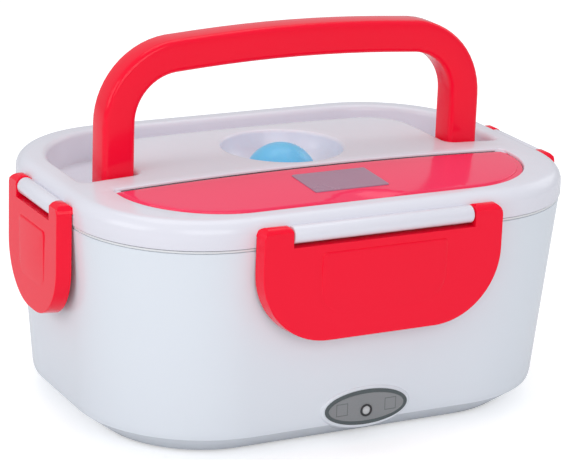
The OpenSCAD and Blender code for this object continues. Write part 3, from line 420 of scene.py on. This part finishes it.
def plate_material():
    """Grey plate: a dark rim outside an ellipse, and two printed square outlines."""
    material = plastic("grey lamp plate", (0.25, 0.26, 0.27), (0.29, 0.30, 0.31),
                       rough=0.42, grain=1.2, relief=0.3)
    nodes, link = material.node_tree.nodes, material.node_tree.links.new
    shader = nodes["Principled BSDF"]
    face_colour = shader.inputs["Base Color"].links[0].from_socket
    place = nodes.new("ShaderNodeSeparateXYZ")
    link(nodes.new("ShaderNodeTexCoord").outputs["Object"], place.inputs["Vector"])

    sums = math_in(material.node_tree)
    x, z = place.outputs["X"], sums("SUBTRACT", place.outputs["Z"], PLATE_Z * MM)
    ellipse = sums("ADD", sums("POWER", sums("DIVIDE", x, FACE_HALF_X * MM), 2),
                   sums("POWER", sums("DIVIDE", z, FACE_HALF_Z * MM), 2))
    rim = sums("GREATER_THAN", ellipse, 1.0)
    across = sums("ABSOLUTE", sums("SUBTRACT", sums("ABSOLUTE", x), SQUARE_X * MM))
    square = sums("MAXIMUM", across, sums("ABSOLUTE", z))
    line = sums("LESS_THAN", sums("ABSOLUTE", sums("SUBTRACT", square, SQUARE_HALF * MM)), SQUARE_LINE * MM)
    dark = sums("MAXIMUM", sums("MULTIPLY", line, 0.75), rim)
    shade = nodes.new("ShaderNodeMix")
    shade.data_type = "RGBA"
    link(dark, shade.inputs["Factor"])
    link(face_colour, shade.inputs["A"])
    shade.inputs["B"].default_value = (0.085, 0.105, 0.11, 1)
    link(shade.outputs["Result"], shader.inputs["Base Color"])
    return material


fitted(plate, "base", "plate_grey", plate_material(), "lamp_plate")

start_piece()
bpy.ops.mesh.primitive_torus_add(major_radius=LENS_RING_R * MM, minor_radius=LENS_RING_THICK * MM,
                                 major_segments=48, minor_segments=12, rotation=UPRIGHT,
                                 location=(0, (BOSS_Y - 0.55) * MM, LENS_Z * MM))
lens_ring = settled(bpy.context.object, "lens_ring", 60)
fitted(lens_ring, "base", "black_plastic", black_plastic)
start_piece()
bpy.ops.mesh.primitive_uv_sphere_add(segments=40, ring_count=20, radius=LENS_R * MM, scale=(1, LENS_BULGE, 1),
                                     location=(0, (BOSS_Y - 0.1) * MM, LENS_Z * MM))
lens = settled(bpy.context.object, "lamp_lens_part", 60)
lens_material = plastic("milky clear lens", (0.86, 0.87, 0.88), (0.80, 0.81, 0.82), rough=0.12, relief=0.02,
                        Transmission_Weight=0.35, IOR=1.49)
fitted(lens, "base", "lens_clear", lens_material, "lamp_lens")
dressed("lamp_diode", "lens_clear", lens_material)


# Lift-out food tray with its divider, moulded in satin white plastic, and the side dish box that
# stands in it, closed by a press-on lid of blue silicone.
silicone = plastic("blue silicone", (0.16, 0.60, 0.95), (0.21, 0.66, 0.97),
                   rough=0.30, rubbed=0.15, relief=0.05, Subsurface_Weight=0.25,
                   Subsurface_Radius=(0.002, 0.004, 0.006), Subsurface_Scale=1.0)
dressed("food_tray", "inner_white", inner_plastic)
dressed("side_dish_box", "inner_white", inner_plastic)
dressed("side_dish_lid", "blue_silicone", silicone)


# Lid: one glossy white moulding with a crowned top, a soft edge, a deep channel for the folded
# handle, a vent bowl, the cutlery compartment and the rolls that the clips turn on.
LID_X, LID_Y, LID_R = 110.0, 79.0, 53.0
LID_Z, LID_TOP, LID_SOFT, CROWN = 91.5, 103.0, 6.0, 3.0
LID_UNDER, LID_WALL, TUB_IN, SKIRT_TOP = 88.1, 2.2, 8.2, LID_Z + 6.5
FLOOR_Z = 89.4
COVER_X, COVER_FRONT, COVER_REAR, COVER_R = 91.0, -69.0, -24.0, 40.0
HINGE_Y, HINGE_Z = -27.8, 100.5
SEAT_GAP, REAR_GAP, SEAT_DEPTH, SEAT_SHELL = 0.4, 0.75, 2.55, 1.95
SEAT_IN, SEAT_BACK, REAR_SHIFT, REAR_DROP, REAR_UP = 3.2, 4.7, 2.0, 1.1, 2.5
CHANNEL_SOFT, BOWL_SOFT, SEAT_SOFT = 2.6, 1.7, 0.7
VENT_Y, BOWL_Z, BOWL_R = 7.5, 94.77, 26.0
BOWL_FOOT_R, BOWL_BEND_R, BOWL_LIP_R, BOWL_DEEP = 16.6, 25.2, 25.8, 9.2
STEM_HOLE_R = 4.05
ROLL_Z, AXIS_OUT, ROLL_R = 96.4, 2.9, 3.6
FRONT_ROLL_HALF, END_ROLL_HALF, ROLL_WEB, WEB_OUT = 40.7, 17.4, 4.4, 0.6
LENGTHWISE = (0, math.radians(90), 0)
SCOOP_R, SCOOP_CENTRE = 64.85, Vector((0, -85.77, 162.92))


def crown(x, y):
    along, across = x / (LID_X - LID_SOFT), y / (LID_Y - LID_SOFT)
    return LID_TOP + CROWN * max(0.0, 1 - along ** 2) * max(0.0, 1 - across ** 2)


def scoop(x, y, radius):
    """Height of the finger scoop's ball over a point, or a height far above where it doesn't reach."""
    reach = radius * radius - (x - SCOOP_CENTRE.x) ** 2 - (y - SCOOP_CENTRE.y) ** 2
    return SCOOP_CENTRE.z - math.sqrt(reach) if reach > 0 else 999.0


def lid_outline(inwards):
    return rounded(LID_X - inwards, LID_Y - inwards, LID_R - inwards, 26, (17, 6, 17, 6))


def channel_outline(out):
    """The U-shaped channel of the handle, widened by out."""
    x, inner_x, rear, inner_y, front = 98 + out, 73.2 - out, 66.1 + out, 44.2 - out, -7.8 - out
    big, small, tip = 43 + out, 19 - out, 3 + out
    return outline([arc(x - tip, front + tip, tip, 270, 360, 6), arc(x - big, rear - big, big, 0, 90, 24),
                    arc(big - x, rear - big, big, 90, 180, 24), arc(tip - x, front + tip, tip, 180, 270, 6),
                    arc(-inner_x - tip, front + tip, tip, 270, 360, 6),
                    arc(small - inner_x, inner_y - small, small, 180, 90, 14),
                    arc(inner_x - small, inner_y - small, small, 90, 0, 14),
                    arc(inner_x + tip, front + tip, tip, 180, 270, 6)],
                   [5, 17, 5, 3, 5, 17, 5, 3])


def cover_outline(out, back=0.0):
    """The D-shaped outline of the cutlery cover, widened by out, and by back at its straight rear edge."""
    x, front, rear, r = COVER_X + out, COVER_FRONT - out, COVER_REAR + out + back, COVER_R + out
    tip = max(0.6, 2 + out)
    return outline([arc(r - x, front + r, r, 180, 270, 22), arc(x - r, front + r, r, 270, 360, 22),
                    arc(x - tip, rear - tip, tip, 0, 90, 5), arc(tip - x, rear - tip, tip, 90, 180, 5)],
                   [17, 0, 29, 0])


def circle(radius, y=VENT_Y, steps=96):
    turns = [2 * math.pi * i / steps for i in range(steps)]
    return [(radius * math.cos(turn), y + radius * math.sin(turn)) for turn in turns]


def ring(mesh, points, height):
    """A ring of mesh corners on an outline, at a height or at a height of x and y."""
    at = height if callable(height) else lambda x, y: height
    return [mesh.verts.new((x * MM, y * MM, at(x, y) * MM)) for x, y in points]


def inside(x, y, points):
    hit = False
    for (ax, ay), (bx, by) in zip(points, points[1:] + points[:1]):
        if (ay > y) != (by > y) and x < (bx - ax) * (y - ay) / (by - ay) + ax:
            hit = not hit
    return hit


def filled(mesh, rim, holes=(), step=0.0, height=None, lines=()):
    """Triangles between a rim ring and hole rings, over a grid of corners at the height of x and y."""
    rings = [rim, *holes]
    corners = [corner for one in rings for corner in one]
    flat = [(corner.co.x / MM, corner.co.y / MM) for corner in corners]
    edges, start, loops = [], 0, []
    for one in rings:
        edges += [(start + i, start + (i + 1) % len(one)) for i in range(len(one))]
        loops.append(flat[start:start + len(one)])
        start += len(one)

    def free(x, y, gap):
        """Inside the rim, outside the holes, and at least a gap away from all their corners."""
        if not inside(x, y, loops[0]) or any(inside(x, y, hole) for hole in loops[1:]):
            return False
        return all((x - px) ** 2 + (y - py) ** 2 > gap * gap for px, py in flat)

    extra = []
    for line in lines:
        extra += [(x, y) for x, y in line if free(x, y, 0.5)]
    count = len(extra)
    if step:
        xs, ys = [p[0] for p in loops[0]], [p[1] for p in loops[0]]
        for i in range(int((max(xs) - min(xs)) / step) + 1):
            for j in range(int((max(ys) - min(ys)) / step) + 1):
                x, y = min(xs) + (i + 0.5 * (j % 2)) * step, min(ys) + j * step
                if not free(x, y, 0.55 * step):
                    continue
                if all((x - px) ** 2 + (y - py) ** 2 > 0.6 for px, py in extra[:count]):
                    extra.append((x, y))
    corners += [mesh.verts.new((x * MM, y * MM, height(x, y) * MM)) for x, y in extra]
    flat += extra
    made = delaunay_2d_cdt([Vector(p) for p in flat], edges, [], 0, 1e-6)
    for face in made[2]:
        middle = [sum(made[0][i][k] for i in face) / 3 for k in (0, 1)]
        if inside(*middle, loops[0]) and not any(inside(*middle, hole) for hole in loops[1:]):
            mesh.faces.new([corners[made[3][i][0]] for i in face])


def soft_rings(mesh, shape, radius, surface, steps=5):
    """Rings of a rounded edge, from the surface out at radius to the wall at nought."""
    turns = [math.radians(90 * i / steps) for i in range(steps + 1)]
    return [ring(mesh, shape(radius * (1 - math.sin(t))),
                 lambda x, y, t=t: surface(x, y) - radius * (1 - math.cos(t))) for t in turns]


lid = bmesh.new()
edge_turns = [math.radians(90 * i / 8) for i in range(8, -1, -1)]
skirt = [ring(lid, lid_outline(LID_SOFT * (1 - math.cos(t))), LID_TOP - LID_SOFT + LID_SOFT * math.sin(t))
         for t in edge_turns]
skirt += [ring(lid, lid_outline(d), z)
          for d, z in ((0, LID_Z + 0.5), (0.15, LID_Z + 0.15), (0.5, LID_Z), (LID_WALL, LID_Z),
                       (LID_WALL, SKIRT_TOP), (TUB_IN, SKIRT_TOP), (TUB_IN, LID_UNDER))]
bridged(lid, skirt)

channel = soft_rings(lid, channel_outline, CHANNEL_SOFT, crown)
channel += [ring(lid, channel_outline(-d), FLOOR_Z + z) for d, z in ((0, 1.2), (0.35, 0.35), (1.2, 0))]
bridged(lid, channel)
filled(lid, channel[-1])

bowl = soft_rings(lid, lambda d: circle(BOWL_R + d), BOWL_SOFT, crown, 6)
# The bowl's wall is one curve from its lip, where s is 1, down to its foot.
for s in (0.85, 0.7, 0.55, 0.4, 0.25, 0.12, 0):
    radius = (1 - s) ** 2 * BOWL_FOOT_R + 2 * s * (1 - s) * BOWL_BEND_R + s * s * BOWL_LIP_R
    bowl.append(ring(lid, circle(radius), BOWL_Z + s * s * BOWL_DEEP))
bowl += [ring(lid, circle(STEM_HOLE_R), z) for z in (BOWL_Z, LID_UNDER)]
bridged(lid, bowl)

seat = soft_rings(lid, lambda d: cover_outline(SEAT_GAP + d, REAR_GAP), SEAT_SOFT, crown, 3)


def seat_z(x, y):
    """The seat's floor, which dips under the finger scoop."""
    return min(crown(x, y) - SEAT_DEPTH, scoop(x, y, SCOOP_R + SEAT_SHELL))


inner_rim = [(x, y if y < HINGE_Y else y + REAR_SHIFT) for x, y in cover_outline(-SEAT_IN, SEAT_BACK)]
seat.append(ring(lid, cover_outline(SEAT_GAP, REAR_GAP),
                 lambda x, y: crown(x, y) - REAR_DROP if y > HINGE_Y else seat_z(x, y)))
seat.append(ring(lid, inner_rim, lambda x, y: HINGE_Z + REAR_UP if y > HINGE_Y else seat_z(x, y)))
seat.append(ring(lid, inner_rim, FLOOR_Z))
bridged(lid, seat)
filled(lid, seat[-1])

filled(lid, skirt[0], [channel[0], bowl[0], seat[0]], step=5.0, height=crown)
filled(lid, skirt[-1], [bowl[-1]])
lid_piece = finished(lid, "lid_moulding", 35)


def rod(radius, length, place, vertices, edge=0.0, segments=2):
    """A round bar that lies along the length of the box, with its ends softened where edge is given."""
    start_piece()
    bpy.ops.mesh.primitive_cylinder_add(vertices=vertices, radius=radius * MM, depth=length * MM,
                                        rotation=LENGTHWISE, location=[value * MM for value in place])
    bar = bpy.context.object
    if edge:
        modified(bar, "BEVEL", width=edge * MM, segments=segments, limit_method="ANGLE",
                 angle_limit=math.radians(60))
    return bar


def roll(half_length, turn, side):
    """One hinge roll with its web to the lid's side, for the clip on that side."""
    bar = rod(ROLL_R, 2 * half_length, (0, -(side + AXIS_OUT), ROLL_Z), 40, 0.5, 3)
    start_piece()
    bpy.ops.mesh.primitive_cube_add(size=1, location=(0, -(side + WEB_OUT) * MM, ROLL_Z * MM),
                                    scale=(2 * half_length * MM, ROLL_WEB * MM, ROLL_WEB * MM))
    web = bpy.context.object
    piece = joined([bar, web])
    bpy.ops.object.transform_apply(location=True, rotation=True, scale=True)
    piece.rotation_euler = (0, 0, math.radians(turn))
    bpy.ops.object.transform_apply(location=True, rotation=True, scale=True)
    return piece


rolls = [roll(FRONT_ROLL_HALF, turn, FRONT_SIDE) for turn in (0, 180)]
rolls += [roll(END_ROLL_HALF, turn, END_SIDE) for turn in (90, 270)]
lid_piece = settled(joined([lid_piece, *rolls]), "lid_moulding", 35)
lid_plastic = plastic("glossy white lid plastic", (0.80, 0.79, 0.86), (0.77, 0.77, 0.85),
                      rough=0.22, rubbed=0.10)
fitted(lid_piece, "lid", "body_white", lid_plastic, "lid_shell")
dressed("lid_liner", "inner_white", inner_plastic)
dressed("lid_seal", "blue_silicone", silicone)


# Cutlery cover: a glossy red D-shaped plate with a lower border and a finger scoop at its front,
# hinged in the lid on two short pins along its straight rear edge. A bare label plate lies on it.
COVER_THICK, COVER_SHELL = 2.25, 1.6
BARREL_R, BARREL_LENGTH, BARREL_X = 2.2, 2.8, 89.6
PIN_R, PIN_LENGTH, PIN_X = 1.25, 4.0, 91.3


def cover_top(drop):
    return lambda x, y: min(crown(x, y) - drop, scoop(x, y, SCOOP_R))


def cover_under(x, y):
    flat = crown(x, y) - COVER_THICK
    return min(flat, scoop(x, y, SCOOP_R + COVER_SHELL)) if y < COVER_REAR else flat


cover = bmesh.new()
steps = [ring(cover, cover_outline(0), cover_under)]
steps += [ring(cover, cover_outline(out), cover_top(drop))
          for out, drop in ((0, 1.35), (-0.15, 1.15), (-0.4, 1.1), (-2.1, 1.1), (-2.25, 1.0), (-2.45, 0.5),
                            (-2.7, 0.3), (-3.1, 0.25))]
bridged(cover, steps)
# Circles of mesh corners round the finger scoop, closest together at its edge.
scoop_lines = [circle(r, SCOOP_CENTRE.y, 120) for r in (25.4, 24.9, 24.4, 23, 21, 18.5)]
filled(cover, steps[-1], step=3.0, height=cover_top(0.25), lines=scoop_lines)
filled(cover, steps[0], step=4.0, height=cover_under, lines=scoop_lines[2:])
cover_piece = finished(cover, "cutlery_cover", 24)

barrels = []
for side in (-1, 1):
    barrels.append(rod(BARREL_R, BARREL_LENGTH, (side * BARREL_X, HINGE_Y, HINGE_Z), 32, 0.3))
    barrels.append(rod(PIN_R, PIN_LENGTH, (side * PIN_X, HINGE_Y, HINGE_Z), 24, 0.3))
cover_piece = settled(joined([cover_piece, *barrels]), "cutlery_cover", 24)
red_plastic = plastic("glossy red plastic", (0.99, 0.004, 0.035), (0.96, 0.003, 0.024),
                      rough=0.13, rubbed=0.08, grain=0.05, relief=0.025, Specular_IOR_Level=0.24)
# The cover is the same red plastic as the handle. Its colour is lightened to pink as painted sheen, standing
# in for the light that its upward face reflects.
cover_red_with_painted_sheen = plastic("glossy red plastic with painted sheen", (0.98, 0.055, 0.145), (0.97, 0.045, 0.125),
                        rough=0.13, rubbed=0.08, grain=0.05, relief=0.025, Specular_IOR_Level=0.24)
fitted(cover_piece, "cover", "red_gloss", cover_red_with_painted_sheen, "spoon_cover")
label_foil = plastic("satin grey label plate", (0.40, 0.215, 0.31), (0.37, 0.20, 0.29),
                     rough=0.3, rubbed=0.2, grain=0.6, relief=0.08)
dressed("cover_label", "label_grey", label_foil)


# Vent plug: a dome of blue silicone on a stem that passes through the bottom of the bowl. It is
# pulled up by hand to let the steam out, and its stem stays in the hole.
DOME_R, DOME_Z = 16, 90.57
DOME_RIM, STEM_LENGTH = 11.6, 8.4
start_piece()
bpy.ops.mesh.primitive_uv_sphere_add(segments=72, ring_count=48, radius=DOME_R * MM,
                                     location=(0, VENT_Y * MM, DOME_Z * MM))
dome = bpy.context.object
bpy.ops.object.transform_apply(location=True)
in_edit("FACE")
bpy.ops.mesh.select_all(action="SELECT")
bpy.ops.mesh.bisect(plane_co=(0, 0, (BOWL_Z + 0.1) * MM), plane_no=(0, 0, 1), clear_inner=True, use_fill=True)
bpy.ops.mesh.select_mode(type="FACE")
pick_faces(lambda c, n: n.z < -0.9)
bpy.ops.mesh.inset(thickness=DOME_RIM * MM, depth=0)
bpy.ops.mesh.extrude_region_move(TRANSFORM_OT_translate={"value": (0, 0, -STEM_LENGTH * MM)})
bpy.ops.object.mode_set(mode="OBJECT")
modified(dome, "BEVEL", width=0.6 * MM, segments=3, limit_method="ANGLE", angle_limit=math.radians(50))
settled(dome, "vent_dome", 40)
fitted(dome, "plug", "blue_silicone", silicone, "vent_plug")


# Carrying handle: one chunky arch of glossy red plastic with rounded edges. Its legs end in round
# eyes with pivot stubs that snap into the sides of the channel.
PIVOT_Z = 96.6
HANDLE_X, HANDLE_H, HANDLE_CORNER, ARCH = 88.4, 64.4, 35.0, 2.2
GRIP_W, GRIP_T, GRIP_EDGE = 14.2, 13.6, 2.3
INNER_H, INNER_CORNER = HANDLE_H - GRIP_W + 0.4, HANDLE_CORNER - 15
EYE_R, EYE_LENGTH, EYE_X = 6.5, 13.2, 81.3
STUB_R, STUB_LENGTH, STUB_X = 2.5, 8, 72.2


def handle_line(half, top, radius, steps=14):
    """One edge of the arch seen from its front: a leg, a corner, the grip, a corner and a leg."""
    side = top - ARCH
    right = [(half, 0)] + arc(half - radius, side - radius, radius, 0, 84, steps)
    middle = [(x * (half - radius), top - ARCH * x * x)
              for x in (0.8, 0.6, 0.4, 0.2, 0, -0.2, -0.4, -0.6, -0.8)]
    return right + middle + [(-x, z) for x, z in reversed(right)]


handle = bmesh.new()
sections = []
for (ax, az), (bx, bz) in zip(handle_line(HANDLE_X, HANDLE_H, HANDLE_CORNER),
                              handle_line(HANDLE_X - GRIP_W, INNER_H, INNER_CORNER)):
    across = Vector((ax - bx, 0, az - bz))
    middle = Vector(((ax + bx) / 2, 0, PIVOT_Z + (az + bz) / 2))
    half = across.length / 2
    across.normalize()
    sections.append([handle.verts.new((middle + across * u + Vector((0, v, 0))) * MM)
                     for u, v in rounded(half, GRIP_T / 2, GRIP_EDGE, 5)])
bridged(handle, sections)
handle.faces.new(sections[0])
handle.faces.new(sections[-1])
handle_piece = finished(handle, "carrying_handle", 30)
eyes = []
for side in (-1, 1):
    eyes.append(rod(EYE_R, EYE_LENGTH, (side * EYE_X, 0, PIVOT_Z), 40, 1.2, 4))
    eyes.append(rod(STUB_R, STUB_LENGTH, (side * STUB_X, 0, PIVOT_Z), 32, 0.4))
handle_piece = settled(joined([handle_piece, *eyes]), "carrying_handle", 30)
fitted(handle_piece, "handle", "red_gloss", red_plastic, "handle")


# Snap clips: four hollow red mouldings that hang from the lid's rolls on two ears each and hook
# under ledges on the body. Their flanges flare a little towards the wall, and a raised panel that
# fades out downwards stands on each face.
EAR_R, CLIP_OUT = 3.9, 6.7
CLIP_BACK, CLIP_DEEP, CLIP_FLARE, CLIP_WALL, CLIP_FACE = 0.45, -5.4, 1.2, 2.2, 1.9
NOTCH_Z, EAR_TOP, HOLLOW_TOP, HOLLOW_IN = 91.9, 100.6, 89.9, 7
PANEL_SUNK, PANEL_RISE, PANEL_DEEP = 0.25, 0.5, 1.0
PEG_R, PEG_LENGTH, PEG_IN = 2, 6.5, 2.2
HOOK_SHORT, HOOK_DROP, HOOK_HIGH = 1, 1.5, 2.2
CUT_IN, CUT_OUT, CUT_HALF, CUT_LOW, CUT_TOP = 12, 14, 70, 40, 104


def clip_outline(half, ear, low_z, low_r, flare=0.0):
    """The clip seen from its front, widened and lowered by the flare."""
    out, inner, low = half + flare, half - ear, low_z - 0.6 * flare
    tip_out, tip_in = 5.0, 2.6
    right = [arc(out - low_r, low + low_r, low_r, -90, 0, 20),
             arc(out - tip_out, EAR_TOP - tip_out, tip_out, 0, 90, 7),
             arc(inner + tip_in, EAR_TOP - tip_in, tip_in, 90, 180, 5), [(inner, NOTCH_Z)]]
    left = [[(-x, z) for x, z in reversed(part)] for part in reversed(right)]
    return outline(right + left, [0] * 8)


def clip_shell(half, ear, low_z, low_r, side):
    """The clip's body: front and back outlines joined, with soft front edges and a softer lip."""
    mesh = bmesh.new()
    rows = []
    for out, flare in ((CLIP_DEEP, CLIP_FLARE), (CLIP_OUT, 0.0)):
        rows.append([mesh.verts.new((x * MM, -(side + out) * MM, z * MM))
                     for x, z in clip_outline(half, ear, low_z, low_r, flare)])
    bridged(mesh, rows)
    mesh.faces.new(rows[0])
    mesh.faces.new(rows[1])
    piece = finished(mesh, "clip", 30)
    front, inner = -(side + CLIP_OUT), half - ear

    def on_front(a, b):
        return abs(a.y - front) < 0.01 and abs(b.y - front) < 0.01

    def on_notch(a, b):
        return on_front(a, b) and abs(a.z - NOTCH_Z) < 0.01 and abs(b.z - NOTCH_Z) < 0.01

    def on_lip(a, b):
        """An edge of the rounding that the notch already has."""
        between = abs(a.x) < inner + 0.1 and abs(b.x) < inner + 0.1
        return between and NOTCH_Z - 3 < min(a.z, b.z) and max(a.z, b.z) < NOTCH_Z

    in_edit("EDGE")
    pick_edges(on_notch)
    bpy.ops.mesh.bevel(offset=1.9 * MM, segments=5, affect="EDGES", clamp_overlap=True)
    pick_edges(lambda a, b: on_front(a, b) and not on_lip(a, b))
    bpy.ops.mesh.bevel(offset=0.9 * MM, segments=4, affect="EDGES", clamp_overlap=True)
    bpy.ops.object.mode_set(mode="OBJECT")
    return piece


def clip_panel(half, top, low, side):
    """The raised panel: proud at its top edge and flush at its rounded foot."""
    mesh = bmesh.new()
    foot_r, head_r = 0.42 * half, 1.6

    def shape(inset):
        x, foot_z, head_z = half - inset, low + inset + foot_r, top - inset - head_r
        return outline([arc(x - foot_r, foot_z, foot_r, -90, 0, 10),
                        arc(x - head_r, head_z, head_r, 0, 90, 4),
                        arc(head_r - x, head_z, head_r, 90, 180, 4),
                        arc(foot_r - x, foot_z, foot_r, 180, 270, 10)], [6, 0, 6, 0])

    def face_y(z, share):
        rise = share * (PANEL_SUNK + PANEL_RISE * (z - low) / (top - low))
        return -(side + CLIP_OUT - PANEL_SUNK + rise)

    rows = []
    for inset, share in ((0, 0.0), (0.05, 0.35), (0.2, 0.75), (0.45, 0.95), (0.8, 1.0)):
        rows.append([mesh.verts.new((x * MM, face_y(z, share) * MM, z * MM)) for x, z in shape(inset)])
    back = [mesh.verts.new((x * MM, -(side + CLIP_OUT - PANEL_DEEP) * MM, z * MM)) for x, z in shape(0)]
    bridged(mesh, [back, *rows])
    mesh.faces.new(back)
    mesh.faces.new(rows[-1])
    return finished(mesh, "panel", 30)


def snap_clip(name, body, node, half, ear, low_z, low_r, panel, side, turn):
    """One clip, built on the front side and turned to its own."""
    piece = clip_shell(half, ear, low_z, low_r, side)
    inner, foot_r = half - CLIP_WALL, low_r - CLIP_WALL
    hollow = outline([arc(half - low_r, low_z + low_r, foot_r, -90, 0, 14),
                      [(inner, HOLLOW_TOP)], [(-inner, HOLLOW_TOP)],
                      arc(low_r - half, low_z + low_r, foot_r, 180, 270, 14)], [0] * 4)
    cut(piece, prism(hollow, side - HOLLOW_IN, side + CLIP_OUT - CLIP_FACE, "out"))
    back, deep, past = side + CLIP_BACK, side - CUT_IN, side + CUT_OUT
    behind = [(deep, CUT_LOW), (back, CUT_LOW), (back, ROLL_Z), (deep, ROLL_Z)]
    cut(piece, prism(behind, -CUT_HALF, CUT_HALF, "x"))
    round_ear = [(side + AXIS_OUT + x, ROLL_Z + z) for x, z in arc(0, 0, EAR_R, 30, 180, 20)]
    above = [(past, ROLL_Z + 1.5), *round_ear, (deep, ROLL_Z - 0.1), (deep, CUT_TOP), (past, CUT_TOP)]
    cut(piece, prism(above, -CUT_HALF, CUT_HALF, "x"))
    parts = [piece, clip_panel(*panel, side)]
    for way in (-1, 1):
        peg_place = (way * (half - ear - PEG_IN), -(side + AXIS_OUT), ROLL_Z)
        parts.append(rod(PEG_R, PEG_LENGTH, peg_place, 28))
    start_piece()
    hook_y = -(back + side + CLIP_OUT - HOOK_SHORT) / 2
    bpy.ops.mesh.primitive_cube_add(size=1, location=(0, hook_y * MM, (LEDGE_UNDER - HOOK_DROP) * MM),
                                    scale=(half * 1.1 * MM, (CLIP_OUT - HOOK_SHORT - CLIP_BACK) * MM,
                                           HOOK_HIGH * MM))
    parts.append(bpy.context.object)
    piece = joined(parts)
    bpy.ops.object.transform_apply(location=True, rotation=True, scale=True)
    piece.rotation_euler = (0, 0, math.radians(turn))
    settled(piece, name, 30)
    fitted(piece, body, "red_gloss", red_plastic, node)


# Half the length, the ear's width, the lowest height, the corner radius, the panel's half width,
# top and foot, and the side of the lid that the clip hangs on.
LONG_CLIP = (54, 12.8, 51.8, 30, (28.4, 88.7, 62), FRONT_SIDE)
SIDE_CLIP = (26.5, 8.6, 49.0, 24, (13.6, 86.0, 61), END_SIDE)
snap_clip("clip_front_part", "front_clip", "clip_front", *LONG_CLIP, 0)
snap_clip("clip_back_part", "back_clip", "clip_back", *LONG_CLIP, 180)
snap_clip("clip_left_part", "left_clip", "clip_left", *SIDE_CLIP, 270)
snap_clip("clip_right_part", "right_clip", "clip_right", *SIDE_CLIP, 90)


# Spoon and fork, both pressed from sheet steel and polished. They lie side by side, turned end
# for end, in the compartment under the cover.
dressed("spoon", "steel", steel)
dressed("fork", "steel", steel)


# Floor, lights and camera: a pale floor under a white backdrop, four softboxes round the box, and
# a camera a metre away at its front left, looking a little down.
start_piece()
bpy.ops.mesh.primitive_plane_add(size=12, location=(0, 3, -0.0001))
floor = bpy.context.object
floor.name = "floor"
floor_white = bpy.data.materials.new("pale floor")
floor_white.use_nodes = True
floor_nodes, floor_link = floor_white.node_tree.nodes, floor_white.node_tree.links.new
floor_shader = floor_nodes["Principled BSDF"]
floor_shader.inputs["Base Color"].default_value = (0.85, 0.85, 0.86, 1)
floor_shader.inputs["Roughness"].default_value = 0.9
floor_shader.inputs["Specular IOR Level"].default_value = 0.1
glow = floor_nodes.new("ShaderNodeEmission")
glow.inputs["Strength"].default_value = 0.42
seen = floor_nodes.new("ShaderNodeLightPath")
either = floor_nodes.new("ShaderNodeMath")
either.operation = "MAXIMUM"
floor_link(seen.outputs["Is Camera Ray"], either.inputs[0])
floor_link(seen.outputs["Is Transmission Ray"], either.inputs[1])
hidden = floor_nodes.new("ShaderNodeMixShader")
added = floor_nodes.new("ShaderNodeAddShader")
floor_link(floor_shader.outputs["BSDF"], added.inputs[0])
floor_link(glow.outputs["Emission"], added.inputs[1])
floor_link(either.outputs[0], hidden.inputs["Fac"])
floor_link(floor_shader.outputs["BSDF"], hidden.inputs[1])
floor_link(added.outputs["Shader"], hidden.inputs[2])
floor_link(hidden.outputs["Shader"], floor_nodes["Material Output"].inputs["Surface"])
floor.data.materials.append(floor_white)

world = bpy.data.worlds.new("studio")
bpy.context.scene.world = world
world.use_nodes = True
world_nodes, world_link = world.node_tree.nodes, world.node_tree.links.new
sky = world_nodes["Background"]
sky.inputs["Color"].default_value = (0.94, 0.97, 1.0, 1)
sky.inputs["Strength"].default_value = 0.55
backdrop = world_nodes.new("ShaderNodeBackground")
backdrop.inputs["Strength"].default_value = 1.0
seen = world_nodes.new("ShaderNodeLightPath")
choice = world_nodes.new("ShaderNodeMixShader")
world_link(seen.outputs["Is Camera Ray"], choice.inputs["Fac"])
world_link(sky.outputs["Background"], choice.inputs[1])
world_link(backdrop.outputs["Background"], choice.inputs[2])
world_link(choice.outputs["Shader"], world_nodes["World Output"].inputs["Surface"])


def softbox(name, place, target, size, power):
    lamp = bpy.data.lights.new(name, "AREA")
    lamp.shape = "RECTANGLE"
    lamp.size, lamp.size_y = size
    lamp.energy = power
    holder = bpy.data.objects.new(name, lamp)
    bpy.context.scene.collection.objects.link(holder)
    holder.location = place
    holder.rotation_euler = (Vector(target) - Vector(place)).to_track_quat("-Z", "Y").to_euler()


softbox("front softbox", (-0.35, -1.5, 0.75), (0, 0, 0.06), (1.3, 0.9), 7.5)
softbox("left softbox", (-1.5, -0.2, 0.7), (0, 0, 0.08), (1.1, 0.8), 5.5)
softbox("top softbox", (0.1, 0.35, 1.7), (0, 0, 0.06), (1.4, 1.2), 7.5)
softbox("right softbox", (1.3, 0.35, 0.75), (0, 0, 0.09), (0.9, 0.7), 1.8)

AIM, DISTANCE = Vector((-0.000943, 0, 0.070025)), 1.07169
FOCAL_PIXELS, PHOTO_WIDTH, SENSOR_MM = 2505.69, 570, 36
AZIMUTH, ELEVATION, ROLL = (math.radians(a) for a in (-27.5032, 17.2544, 2.0731))
back = Vector((math.sin(AZIMUTH) * math.cos(ELEVATION), -math.cos(AZIMUTH) * math.cos(ELEVATION),
               math.sin(ELEVATION)))
right = (-back).cross(Vector((0, 0, 1))).normalized()
up = right.cross(-back)
right, up = right * math.cos(ROLL) + up * math.sin(ROLL), up * math.cos(ROLL) - right * math.sin(ROLL)
lens_data = bpy.data.cameras.new("camera")
lens_data.sensor_width = SENSOR_MM
lens_data.lens = FOCAL_PIXELS / PHOTO_WIDTH * SENSOR_MM
camera = bpy.data.objects.new("camera", lens_data)
bpy.context.scene.collection.objects.link(camera)
turned = Matrix((right, up, back)).transposed().to_4x4()
turned.translation = AIM + back * DISTANCE
camera.matrix_world = turned
bpy.context.scene.camera = camera
bpy.context.scene.view_settings.view_transform = "Standard"

bpy.context.view_layer.update()
